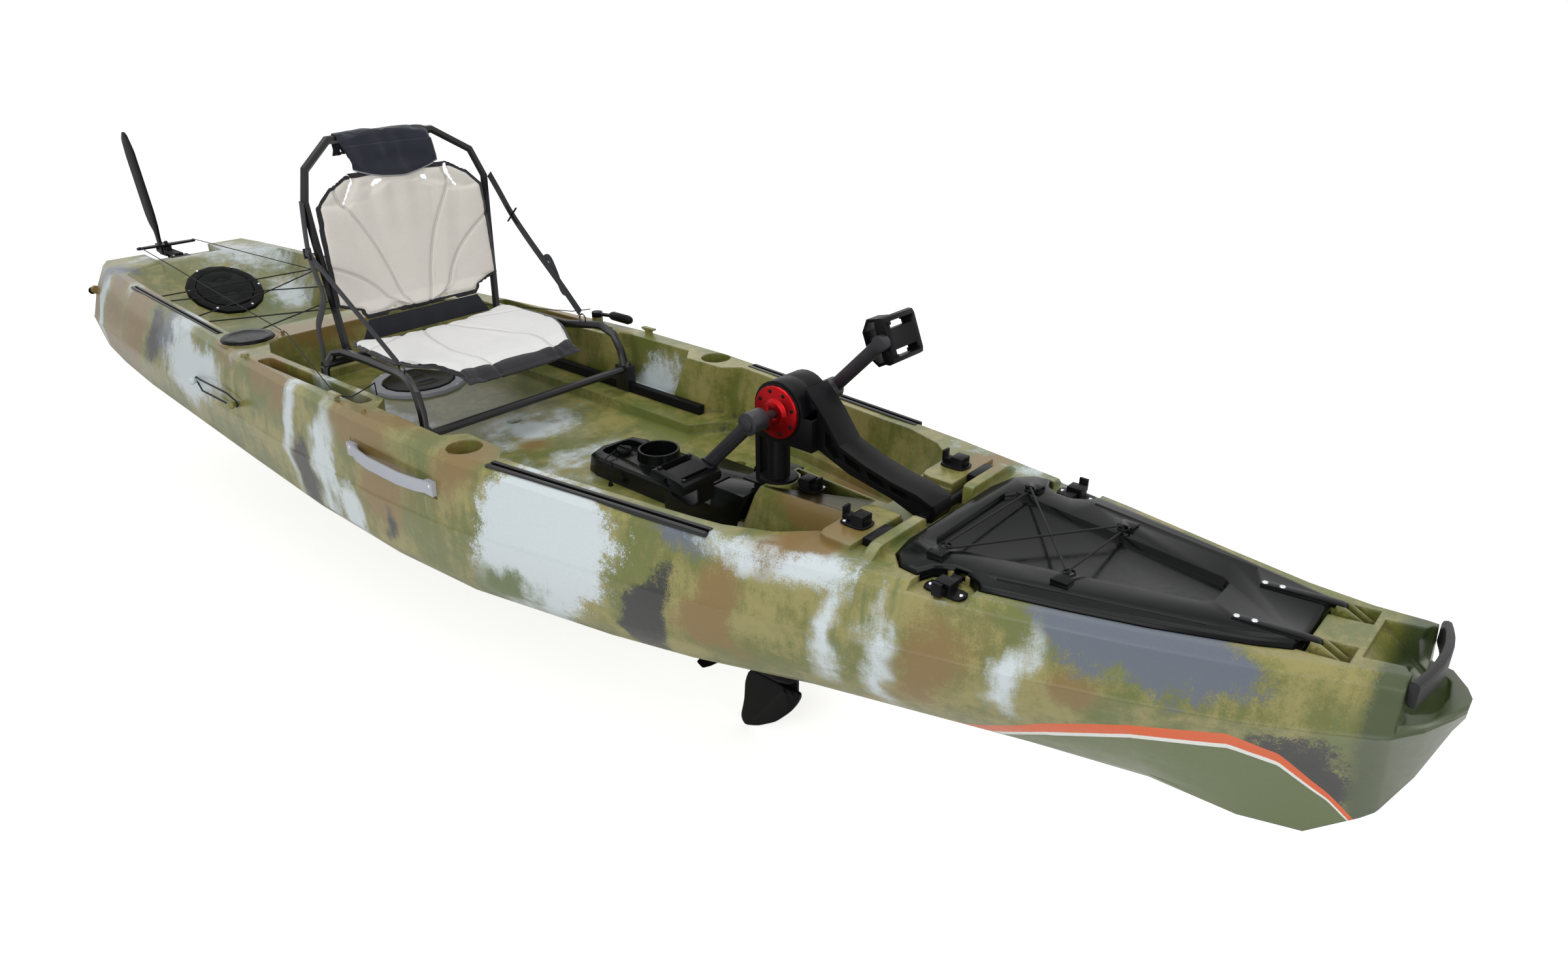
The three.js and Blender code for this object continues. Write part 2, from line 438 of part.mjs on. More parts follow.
function pockets(grow) {
  const upper = tub(cockpitShares, COCKPIT, [
    [COCKPIT.ledge, COCKPIT.sideSlope, COCKPIT.aftSlope, COCKPIT.foreSlope],
    [HULL.depth, 0, 0, 0], [COCKPIT.top, 0, 0, 0]], grow);
  const lower = tub(footwellShares, { aft: COCKPIT.floorAft, fore: COCKPIT.floorFore }, [
    [COCKPIT.floor, COCKPIT.stepInset, 0, COCKPIT.stepInset],
    [COCKPIT.ledge + OVERRUN, 0, 0, 0]], grow);
  const hump = tub([[0, HUMP.halfWidth / halfBeam], [0.07, HUMP.halfWidth / halfBeam],
    [0.72, HUMP.foreHalfWidth / halfBeam], [1, HUMP.foreHalfWidth / halfBeam]], HUMP, [
    [COCKPIT.floor - OVERRUN, 0, 0, 0],
    [HUMP.top - HUMP.endSlope / 2, HUMP.sideSlope * 0.8, HUMP.endSlope * 0.8, 0],
    [HUMP.top, HUMP.sideSlope, HUMP.endSlope, 0]], -grow);
  const channel = span(COCKPIT.floorFore - grow, LID.aft + grow, -SHOULDER.channelHalf - grow,
    SHOULDER.channelHalf + grow, SHOULDER.channelFloor - grow, COCKPIT.top);
  const slot = span(SHOULDER.slotAft - grow, SHOULDER.slotFore + grow, -SHOULDER.slotHalf - grow,
    SHOULDER.slotHalf + grow, SHOULDER.slotFloor - grow, COCKPIT.top);
  const tank = tub(tankShares, TANK, [[TANK.floor, TANK.sideSlope, TANK.ramp, TANK.foreSlope],
    [deckZ(TANK.aft), 0, 0, 0], [COCKPIT.top, 0, 0, 0]], grow);
  const stern = span(-halfLength - OVERRUN, STERN_DECK.notchFore + grow, -STERN_DECK.notchHalf - grow,
    STERN_DECK.notchHalf + grow, STERN_DECK.notchFloor - grow, COCKPIT.top);
  const binShape = (grow ? outline : rounded)([[SIDE_BIN.aft - grow, SIDE_BIN.inner - grow], [SIDE_BIN.fore + grow, SIDE_BIN.inner - grow],
    [SIDE_BIN.fore + grow, SIDE_BIN.outer + grow], [SIDE_BIN.aft - grow, SIDE_BIN.outer + grow]], SIDE_BIN.round);
  const bin = slabUp(binShape, COCKPIT.top - SIDE_BIN.floor + grow, SIDE_BIN.floor - grow);
  const cup = upright(CUP.radius + grow, COCKPIT.top - CUP.floor + grow, CUP.x, CUP.y, CUP.floor - grow, grow ? 8 : 16);
  const lidSeat = stack(outlineOf(lidShares, LID), [[LID.seat - grow, -grow], [COCKPIT.top + OVERRUN, -grow]]);
  const padX = mix(LID.aft, LID.fore, 0.2125);
  const latchPad = span(padX - 50 - grow, padX + 50 + grow, 190 - grow, halfBeam, LID.seat + 2 - grow, COCKPIT.top);
  const seat = upright(TRUNK.seatRadius + grow, COCKPIT.top - TRUNK.seat, COLUMN.x, 0, TRUNK.seat - grow, grow ? 10 : 20);
  const tunnel = shaftX(TUNNEL.radius + grow, (TUNNEL.half + grow) * 2, TUNNEL.x, 0, TUNNEL.z, 18);
  const pair = (tool) => [tool, mirrored(tool)];
  const railCut = (rail) => pair(bar([rail.aftX - GAP - grow, rail.aftY, railZ(rail, rail.aftX)],
    [rail.foreX + GAP + grow, rail.foreY, railZ(rail, rail.foreX)],
    rect(rail.width + (GAP + grow) * 2, rail.height + OVERRUN + grow, 0, -rail.height - GAP - grow)));
  const hinge = HINGE.arms.flatMap((y) => pair(span(LID.fore - OVERRUN, HINGE.pocketFore + grow,
    y - HINGE.pocketHalf - grow, y + HINGE.pocketHalf + grow, HINGE.pocketFloor - grow, COCKPIT.top)));
  const grip = pair(span(GRIP.aft - grow, GRIP.fore + grow, GRIP.wallY - grow, halfBeam + OVERRUN,
    GRIP.low - grow, GRIP.high + grow));
  return {
    cockpit: join(cut(join(upper, lower), hump), channel, slot, seat),
    others: [tank, stern, ...pair(bin), ...pair(cup), lidSeat, ...pair(latchPad), tunnel,
      ...railCut(FORE_RAIL), ...railCut(AFT_RAIL), ...hinge, ...grip],
  };
}

function buildHull() {
  const outer = solid(loft(stationShares.map((row) => sectionRing(stationAt(row[0] * halfLength), 0, 5, false))));
  const lip = slabEnd(rounded([[SHOULDER.channelHalf, 0], [SHOULDER.channelHalf, SHOULDER.lipRise],
    [SHOULDER.slotHalf + SHOULDER.lipRound, SHOULDER.lipRise], [SHOULDER.slotHalf + SHOULDER.lipThick * 2, 0]],
  [0, SHOULDER.lipRound, SHOULDER.lipRound, 0]), SHOULDER.lipThick, SHOULDER.slotFore)
    .translate(0, 0, deckZ(SHOULDER.slotFore) - GAP * 10);
  const shoulder = slabUp(rounded([[SHOULDER.padAft, SHOULDER.padInner], [SHOULDER.slotAft, SHOULDER.padInner],
    [SHOULDER.slotAft, SHOULDER.padOuter], [SHOULDER.padAft, SHOULDER.padOuter]], [SHOULDER.lipThick, 0, 0, SHOULDER.lipThick]),
  OVERRUN, SHOULDER.padTop - OVERRUN);
  const pad = upright(DECK_HATCH.ring + HULL.wall, HULL.wall + RUNNING, DECK_HATCH.x, DECK_HATCH.y, deckZ(DECK_HATCH.x) - HULL.wall + RUNNING, 20);
  const body = join(outer, lip, mirrored(lip), shoulder, mirrored(shoulder), pad);
  const wells = pockets(0), thick = pockets(HULL.wall);
  const hollowStations = [...stationShares.filter((row, i) => row[0] > -1 && row[0] < hollowEndShare && i % 2 === 1)
    .map((row) => row[0] * halfLength)];
  const rings = [-halfLength + HULL.wall, ...hollowStations, hollowEndShare * halfLength + HULL.wall]
    .map((x) => {
      const s = stationAt(x), lean = Math.max(0, fullPower - s.power) * HULL.wall;
      return sectionRing({ ...s, seamY: s.seamY - lean * 2, keelZ: s.keelZ + lean * 4 }, HULL.wall, 3, true);
    });
  let hollow = solid(loft(rings));
  hollow = cut(hollow, thick.cockpit, ...thick.others);
  const scupperSpots = [[SCUPPER.footX, SCUPPER.footY], [SCUPPER.footX, -SCUPPER.footY], [SCUPPER.seatX, 0],
    [SCUPPER.tankX, SCUPPER.tankY], [SCUPPER.tankX, -SCUPPER.tankY]];
  const pipes = scupperSpots.map(([x, y]) => upright(SCUPPER.radius + HULL.wall, HULL.depth, x, y, -OVERRUN, 6));
  const bores = scupperSpots.map(([x, y]) => upright(SCUPPER.radius, HULL.depth, x, y, -OVERRUN, 8));
  const trunk = (grow) => slabUp(rounded([[TRUNK.aft - grow, -TRUNK.half - grow], [TRUNK.fore + grow, -TRUNK.half - grow],
    [TRUNK.fore + grow, TRUNK.half + grow], [TRUNK.aft - grow, TRUNK.half + grow]], TRUNK.half), HULL.depth * 2, -HULL.depth);
  hollow = cut(hollow, ...pipes, trunk(HULL.wall)).simplify(HULL.wall / 3);
  const bowlCut = slabSide(outline([[BOW_BOWL.aft, deckZ(BOW_BOWL.aft) + OVERRUN], [BOW_BOWL.aft, deckZ(BOW_BOWL.aft) - 12],
    [BOW_BOWL.fore, BOW_BOWL.floor], [BOW_BOWL.fore, deckZ(BOW_BOWL.aft) + OVERRUN]]), BOW_BOWL.half * 2);
  const scoop = ball(1, 8, 6).scale(42, 84, 76)
    .translate(BOW_BOWL.scoopX, 0, BOW_BOWL.scoopZ);
  const lidHole = stack(outlineOf(openingShares, LID), [[LID.seat - OVERRUN, 0], [LID.seat + OVERRUN, 0]]);
  const rampTilt = Math.atan2(deckZ(TANK.aft) - TANK.floor, TANK.ramp);
  const sternHole = upright(STERN_HATCH.opening, OVERRUN * 2, 0, 0, -OVERRUN, 16).rotateY(rampTilt)
    .translate(STERN_HATCH.x, 0, rampZ(STERN_HATCH.x));
  const seatHole = upright(SEAT_HATCH.opening, OVERRUN * 2, SEAT_HATCH.x, 0, COCKPIT.floor - OVERRUN, 16);
  const deckHole = upright(DECK_HATCH.opening, OVERRUN * 2, DECK_HATCH.x, DECK_HATCH.y,
    deckZ(DECK_HATCH.x) - OVERRUN, 14);
  return cut(body, wells.cockpit, ...wells.others, hollow, ...bores, trunk(0), bowlCut, scoop, lidHole,
    sternHole, seatHole, deckHole);
}
function rampZ(x) {
  return mix(deckZ(TANK.aft), TANK.floor, (x - TANK.aft) / TANK.ramp);
}


function railZ(rail, x) { return deckZ(x) + rail.proud; }

const material = (color, roughness, metalness = 0) => new THREE.MeshStandardMaterial({ color, roughness, metalness });
const MOULDED = material(0x6f7840, 0.55);
const BLACK = material(0x141416, 0.38);
const SATIN = material(0x2c2c2f, 0.5);
const RUBBER = material(0x1c1c1e, 0.85);
const RED = material(0xa81420, 0.3, 0.7);
const STEEL = material(0xb9bcc0, 0.3, 1);
const GREY = material(0x9b9fa6, 0.7);
const CREAM = material(0xd8d2c8, 0.9);
const WEB = material(0x2a2b2e, 0.9);
const kayak = new THREE.Group();
kayak.name = 'pedal_kayak';
function add(name, shape, look, parent = kayak) {
  const mesh = new THREE.Mesh(geometryOf(shape), look);
  mesh.name = name;
  parent.add(mesh);
  return mesh;
}
function framed(x, y, z, parent = kayak) {
  const holder = new THREE.Group();
  holder.position.set(x, y, z);
  parent.add(holder);
  return holder;
}
const both = (shape) => [asSolid(shape), asSolid(mirroredSolid(shape))];
const mirroredSolid = (shape) => mirrored(shape.isBufferGeometry ? shape : geometryOf(shape));
function addPair(name, shape, look, parent = kayak) {
  const plain = geometryOf(shape);
  add(`${name}_port`, plain, look, parent);
  add(`${name}_starboard`, mirrored(plain), look, parent);
}
// Small fittings fixed to the hull: eyes for the tank cord, cleats, studs, paddle holders, plug
const EYE = { plate: 28, thick: 3, tall: 13, ring: 8, wire: 2, z: 350 };
const eyeSpots = [-1600, -1270, -950];
const CLEATS = [[-190, -414], [4, 420]];
const CLEAT = { length: 46, width: 13, height: 13, base: 18 };
const STUDS = [[-52, -419, 6, 9], [-700, -396, 12, 8]];
const DRAIN = { y: -296, z: 300, radius: 15, reach: 14 };
const GUIDE = { x: -812, y: 236, height: 14 };
function tankWallY(x, z) {
  const x1 = TANK.fore, place = (x - TANK.aft) / (x1 - TANK.aft);
  let i = 0;
  while (tankShares[i + 1][0] < place) i += 1;
  const [p0, s0] = tankShares[i], [p1, s1] = tankShares[i + 1];
  const top = deckZ(TANK.aft);
  return mix(s0, s1, (place - p0) / (p1 - p0)) * halfBeam - TANK.sideSlope * (top - z) / (top - TANK.floor);
}
const eyeY = (x) => tankWallY(x, EYE.z) - EYE.ring;
function fittings() {
  const parts = [];
  for (const x of eyeSpots) {
    const ring = sweep(Array.from({ length: 6 }, (_, i) => [x, eyeY(x) + EYE.ring * Math.cos(i * Math.PI / 3),
      EYE.z + EYE.ring * Math.sin(i * Math.PI / 3)]), EYE.wire, { sides: 3, each: 1, closed: true });
    parts.push(...both(ring));
  }
  for (const [x, y] of CLEATS) {
    const z = deckZ(x) - RUNNING;
    const side = outline([[x - CLEAT.base / 2, z], [x + CLEAT.base / 2, z], [x + CLEAT.base / 2, z + CLEAT.height * 0.6],
      [x + CLEAT.length / 2, z + CLEAT.height], [x + CLEAT.length / 2, z + CLEAT.height * 1.35], [x - CLEAT.length / 2, z + CLEAT.height * 1.35],
      [x - CLEAT.length / 2, z + CLEAT.height], [x - CLEAT.base / 2, z + CLEAT.height * 0.6]]);
    parts.push(slabSide(side, CLEAT.width, y));
  }
  for (const [x, y, radius, height] of STUDS) parts.push(upright(radius, height + RUNNING, x, y, deckZ(x) - RUNNING, 7, radius * 0.8));
  parts.push(shaftX(DRAIN.radius, DRAIN.reach, -halfLength - DRAIN.reach / 2 + RUNNING, DRAIN.y, DRAIN.z, 8));
  parts.push(...both(upright(PADDLE.pin, GUIDE.height, GUIDE.x, GUIDE.y, deckZ(GUIDE.x) - RUNNING, 6)));
  for (const x of PADDLE.spots) {
    const y = sideY(x, PADDLE.z);
    parts.push(...both(ball(PADDLE.ball, 7, 4).translate(x, y + PADDLE.stand, PADDLE.z)),
      ...both(axle(PADDLE.pin, PADDLE.stand * 2, x, y, PADDLE.z, 6)));
  }
  const z = LID.hingeZ, x = LID.hingeX, floor = HINGE.pocketFloor - RUNNING;
  for (const y of [HINGE.arms[0], -HINGE.arms[0]]) {
    const cheek = outline([[x - HINGE.knuckle, z - HINGE.knuckle * 0.8], [x + HINGE.knuckle * 1.4, floor], [HINGE.bracketFore, floor],
      [HINGE.bracketFore, floor + HINGE.base * 2], [x + HINGE.knuckle, z + HINGE.knuckle * 0.8], [x - HINGE.knuckle * 0.7, z + HINGE.knuckle * 0.8]]);
    const away = HINGE.armWidth / 2 + HINGE.cheekGap + HINGE.cheek / 2;
    parts.push(slabSide(cheek, HINGE.cheek, y - away), slabSide(cheek, HINGE.cheek, y + away),
      axle(HINGE.pin, (away + HINGE.cheek) * 2, x, y, z, 6));
  }
  parts.push(upright(LEVER.base, LEVER.baseHeight, LEVER.x, LEVER.y, deckZ(LEVER.x) - RUNNING, 8));
  return parts;
}
function sideY(x, z) {
  const s = stationAt(x);
  const middle = mix(s.seamY, s.sheerY, 0.45), half = s.seamZ + (s.sheerZ - s.seamZ) / 2;
  return z < half ? mix(s.seamY, middle, (z - s.seamZ) / (half - s.seamZ))
    : mix(middle, s.sheerY, (z - half) / (s.sheerZ - half));
}
// Slots that take the lid bolts, through the lid's wall and the rim outside it
function keeperSlots() {
  const L = LID_LATCH, low = L.z + LATCH.plate - RUNNING, inner = L.y - L.slotIn;
  return both(span(L.x - L.slot / 2, L.x + L.slot / 2, inner, L.y - L.slotOut, low, low + L.slotTall));
}
add('hull', cut(join(buildHull(), ...fittings()), ...keeperSlots()), MOULDED);

// Twist hatches: ring and lid, drawn about their own centre with the deck at zero
const SHELF = { width: 7, depth: 9, collar: 18, crown: 3, clear: 4 };
function ringBody(size, sides) {
  const bore = size.lid / Math.cos(Math.PI / sides) + GAP, shelf = size.lid - SHELF.width, collar = size.opening - SHELF.clear;
  const h = size.ringHeight;
  return revolve([[shelf, -SHELF.collar], [collar, -SHELF.collar], [collar, GAP], [size.ring, GAP],
    [size.ring - h * 0.6, h], [bore, h], [bore, -SHELF.depth], [shelf, -SHELF.depth],
    [shelf, -SHELF.collar]], sides);
}
function lidBody(size, sides) {
  const low = GAP - SHELF.depth, inner = size.lid - SHELF.width * 2, h = size.ringHeight, high = h + SHELF.crown;
  const cap = revolve([[0, low + SHELF.crown], [inner, low + SHELF.crown], [inner, low],
    [size.lid, low], [size.lid, h], [size.lid - SHELF.crown, high], [0, high]], sides);
  const scoop = ball(1, 8, 4).scale(size.lid * 0.2, size.lid * 0.38, SHELF.crown * 2);
  return cut(cap, moved(scoop, size.lid * 0.4, 0, high + RUNNING), moved(scoop, -size.lid * 0.4, 0, high + RUNNING));
}
const rampTilt = Math.atan2(deckZ(TANK.aft) - TANK.floor, TANK.ramp);
const sternHatch = framed(STERN_HATCH.x, 0, rampZ(STERN_HATCH.x));
sternHatch.rotation.y = rampTilt;
add('stern_hatch_ring', ringBody(STERN_HATCH, 16), BLACK, sternHatch);
add('stern_hatch_lid', lidBody(STERN_HATCH, 16), BLACK, sternHatch);
const seatHatch = framed(SEAT_HATCH.x, 0, COCKPIT.floor);
add('seat_hatch_ring', ringBody(SEAT_HATCH, 16), GREY, seatHatch);
add('seat_hatch_lid', lidBody(SEAT_HATCH, 16), BLACK, seatHatch);
const deckPlate = framed(DECK_HATCH.x, DECK_HATCH.y, deckZ(DECK_HATCH.x) + RUNNING * 2);
const plateEdge = DECK_HATCH.lid + RUNNING * 4;
add('deck_plate', join(ringBody(DECK_HATCH, 14), revolve([[0, GAP - SHELF.depth], [plateEdge, GAP - SHELF.depth],
  [plateEdge, DECK_HATCH.ringHeight - RUNNING], [0, DECK_HATCH.ringHeight + SHELF.crown]], 14)), BLACK, deckPlate);

// Gear rails with a slot along the top, and plain bars for the seat
function railBody(rail) {
  const w = rail.width / 2, h = rail.height, s = rail.slot / 2, n = rail.inner / 2, f = rail.floor;
  const section = outline([[-w, -h], [w, -h], [w, 0], [s, 0], [s, -f], [n, -f], [n, f - h], [-n, f - h], [-n, -f],
    [-s, -f], [-s, 0], [-w, 0]]);
  return bar([rail.aftX, rail.aftY, railZ(rail, rail.aftX)], [rail.foreX, rail.foreY, railZ(rail, rail.foreX)], section);
}
addPair('fore_gear_rail', railBody(FORE_RAIL), BLACK);
addPair('aft_gear_rail', railBody(AFT_RAIL), BLACK);
addPair('seat_rail', span(SEAT.railAft, SEAT.railFore, SEAT.railY - SEAT.railWidth / 2,
  SEAT.railY + SEAT.railWidth / 2, COCKPIT.ledge + GAP, COCKPIT.ledge + SEAT.railHeight), BLACK);

// Side carrying grip: two bolted caps and a padded strap arched outwards
{
  const y = GRIP.wallY + GAP, mid = (GRIP.low + GRIP.high) / 2;
  const capAt = (x) => slabSide(outline([[x - GRIP.cap / 2, mid - GRIP.capTall / 2], [x + GRIP.cap / 2, mid - GRIP.capTall / 2],
    [x + GRIP.cap / 2, mid + GRIP.capTall / 2], [x - GRIP.cap / 2, mid + GRIP.capTall / 2]]),
  GRIP.capThick, y + GRIP.capThick / 2);
  const start = GRIP.aft + GRIP.cap / 2 + RUNNING, end = GRIP.fore - GRIP.cap / 2 - RUNNING, near = y + GRIP.thick / 2;
  const path = [[start, near, mid], [mix(start, end, 0.12), near + GRIP.reach * 0.6, mid], [mix(start, end, 0.3), near + GRIP.reach, mid],
    [mix(start, end, 0.7), near + GRIP.reach, mid], [mix(start, end, 0.88), near + GRIP.reach * 0.6, mid], [end, near, mid]];
  const shape = rounded([[-GRIP.wide / 2, -GRIP.thick / 2], [GRIP.wide / 2, -GRIP.thick / 2], [GRIP.wide / 2, GRIP.thick / 2],
    [-GRIP.wide / 2, GRIP.thick / 2]], GRIP.thick / 2);
  addPair('side_grip', join(sweep(path, 0, { section: shape, each: 1 }), capAt(start), capAt(end)), GREY);
}

// Bow handle: padded grip across the step at the stem, its ends on the corner blocks
const HANDLE = { x: 2044.4, y: 97, z: 437, wide: 42, thick: 14, reach: 16, rise: 6 };
{
  const H = HANDLE, w = H.wide / 2, t = H.thick / 2;
  const section = rounded([[-w, -t], [w, -t], [w, t], [-w, t]], t);
  const path = [-1, -0.6, 0, 0.6, 1].map((share) => {
    const out = 1 - share * share;
    return [H.x + H.reach * out, H.y * share, H.z + H.rise * out];
  });
  add('bow_handle', sweep(path, 0, { section, each: 2 }), BLACK);
}

// Bow lid: shell with a skirt, sunk panel, side beads, keeper slots, hinge arms and ring tabs
const panelShares = [[0, 0.26], [0.04, 0.32], [0.96, 0.12], [1, 0.08]];
const PANEL = { aft: 1300, fore: 1765 };
const LOOP = { ring: 11, wire: 2, tab: 30, tabWide: 26, tabThick: 3, out: 13, stand: 9 };
const loopSpots = [[1345, 158], [1549, 114]];
const lidTop = (x) => deckZ(x) + LID.crown;
function topped(geometry, offset) {
  // Lifts a flat body's upper points on to the sloping line of the lid
  const corner = geometry.attributes.position;
  for (let i = 0; i < corner.count; i += 1) {
    if (corner.getZ(i) > LID.seat + LID.wall) corner.setZ(i, corner.getZ(i) + lidTop(corner.getX(i)) - offset);
  }
  return geometry;
}
{
  const top = lidTop(LID.aft), c = LID.clear;
  const plan = outlineOf(lidShares, LID), sunk = outlineOf(panelShares, PANEL);
  const shell = topped(stack(plan, [[LID.seat + GAP, c], [top - LID.wall, c], [top - LID.wall / 4, c * 2], [top, c * 4]]), top);
  const inside = c + LID.wall;
  const under = topped(stack(plan, [[LID.seat - OVERRUN, inside], [top - LID.wall, inside]]), top);
  const panelCut = topped(stack(sunk, [[top - LID.panelDrop, LID.panelDrop], [top + OVERRUN, 0]]), top);
  const panelFloor = topped(stack(sunk, [[top - LID.panelDrop - LID.panelWall, -LID.wall], [top - RUNNING, -LID.wall]]), top);
  const beads = [0.43].flatMap((share) => both(sweep([0.31, 0.5, 0.8].map((t) => {
    const x = mix(LID.aft, LID.fore, t);
    return [x, mix(share, share * 0.62, (t - 0.31) / 0.49) * halfBeam * 0.9, lidTop(x) - RUNNING];
  }), LID.wall / 2, { sides: 4, each: 1 })));
  const keepers = keeperSlots();
  const x = LID.hingeX, z = LID.hingeZ, y = HINGE.arms[0];
  const low = lidTop(HINGE.armAft) - RUNNING, armFore = LID.fore - LID.clear * 4;
  const side = outline([[HINGE.armAft, low], [armFore, lidTop(armFore) - RUNNING], [x - HINGE.knuckle * 0.8, z],
    [x, z + HINGE.knuckle], [armFore, lidTop(armFore) + HINGE.armThick], [HINGE.armAft, low + HINGE.armThick]]);
  const arm = cut(join(slabSide(side, HINGE.armWidth, y), axle(HINGE.knuckle, HINGE.armWidth, x, y, z, 12)),
    axle(HINGE.pin + RUNNING / 2, HINGE.armWidth * 2, x, y, z, 10));
  const loops = loopSpots.flatMap(([u, v]) => {
    const level = lidTop(u);
    const ring = sweep(Array.from({ length: 6 }, (_, i) => [u + LOOP.ring * Math.cos(i * Math.PI / 3),
      v - LOOP.out + LOOP.ring * Math.sin(i * Math.PI / 3), level + LOOP.stand]), LOOP.wire, { sides: 4, each: 1, closed: true });
    return [...both(ring), ...both(block(LOOP.tab, LOOP.tabWide, LOOP.stand + LOOP.wire, u, v + LOOP.tabWide / 3, level + LOOP.stand / 2 - LOOP.wire / 2))];
  });
  add('bow_lid', join(cut(join(cut(shell, cut(under, panelFloor)), ...beads), panelCut, ...keepers),
    ...both(arm), ...loops), BLACK);
}
{
  const eye = loopSpots.map(([x, y]) => [x, y - LOOP.out, lidTop(x) + LOOP.stand]);
  const lift = LOOP.wire + CORD.bungee + GAP * 3, far = LOOP.ring * 0.6;
  const turnAt = ([x, y, z], side, into, out) => {
    const from = new THREE.Vector2(...into).setLength(far), to = new THREE.Vector2(...out).setLength(far);
    return [[x + from.x, side * y + from.y, z + lift], [x, side * y, z], [x + to.x, side * y + to.y, z - lift]];
  };
  const [a, b] = eye, dx = b[0] - a[0];
  const route = [
    ...turnAt(a, 1, [dx, -a[1] - b[1]], [0, -1]), ...turnAt(a, -1, [0, 1], [dx, a[1] + b[1]]),
    ...turnAt(b, 1, [-dx, -a[1] - b[1]], [0, -1]), ...turnAt(b, -1, [0, 1], [-dx, a[1] + b[1]])];
  add('lid_cord', sweep(route, CORD.bungee, { sides: CORD.sides, each: 2, closed: true }), RUBBER);
}

// Latches: each is drawn along its own bolt, nose at plus x
function latchBase(across) {
  const L = LATCH;
  const long = L.plateLength / 2, wide = (across ? L.acrossWidth : L.plateWidth) / 2;
  const corners = across ? [[-wide, -long], [wide, -long], [wide, long], [-wide, long]]
    : [[-long, -wide], [long * 0.55, -wide], [long * 0.55, wide], [-long, wide]];
  const plate = slabUp(rounded(corners, wide * 0.7), L.plate, GAP);
  const bridge = block(L.bridge, L.bridgeWidth, L.bridgeTall, 0, 0, GAP + L.bridgeTall / 2 + RUNNING);
  const tunnel = block(L.bridge * 2, L.tunnelWidth + RUNNING, L.tunnelTall + RUNNING, 0, 0, L.plate + GAP + (L.tunnelTall + RUNNING) / 2);
  return cut(join(plate, bridge), tunnel);
}
function latchBolt(size) {
  const L = LATCH, low = L.plate + GAP * 2 + RUNNING / 4;
  const rod = span(-size.tail, size.nose - L.back, -L.tunnelWidth / 2, L.tunnelWidth / 2, low, low + L.tunnelTall - GAP);
  const tab = span(-size.tail, L.tab - size.tail, -L.tunnelWidth / 2, L.tunnelWidth / 2, low, low + L.tabTall);
  return join(rod, tab);
}
const latchSpots = [
  ['shoulder', '_port', SHOULDER_LATCH.x, SHOULDER_LATCH.y, SHOULDER_LATCH.z, 0, SHOULDER_LATCH],
  ['shoulder', '_starboard', SHOULDER_LATCH.x, -SHOULDER_LATCH.y, SHOULDER_LATCH.z, 0, SHOULDER_LATCH],
  ['column', '', COLUMN_LATCH.x, 0, COLUMN_LATCH.z, Math.PI, COLUMN_LATCH],
  ['lid', '_port', LID_LATCH.x, LID_LATCH.y, LID_LATCH.z, -Math.PI / 2, LID_LATCH],
  ['lid', '_starboard', LID_LATCH.x, -LID_LATCH.y, LID_LATCH.z, Math.PI / 2, LID_LATCH],
];
for (const [kind, end, x, y, z, turn, size] of latchSpots) {
  const holder = framed(x, y, z);
  holder.rotation.z = turn;
  add(`${kind}_latch${end}`, latchBase(size === LID_LATCH), BLACK, holder);
  add(`${kind}_bolt${end}`, latchBolt(size), SATIN, holder);
}

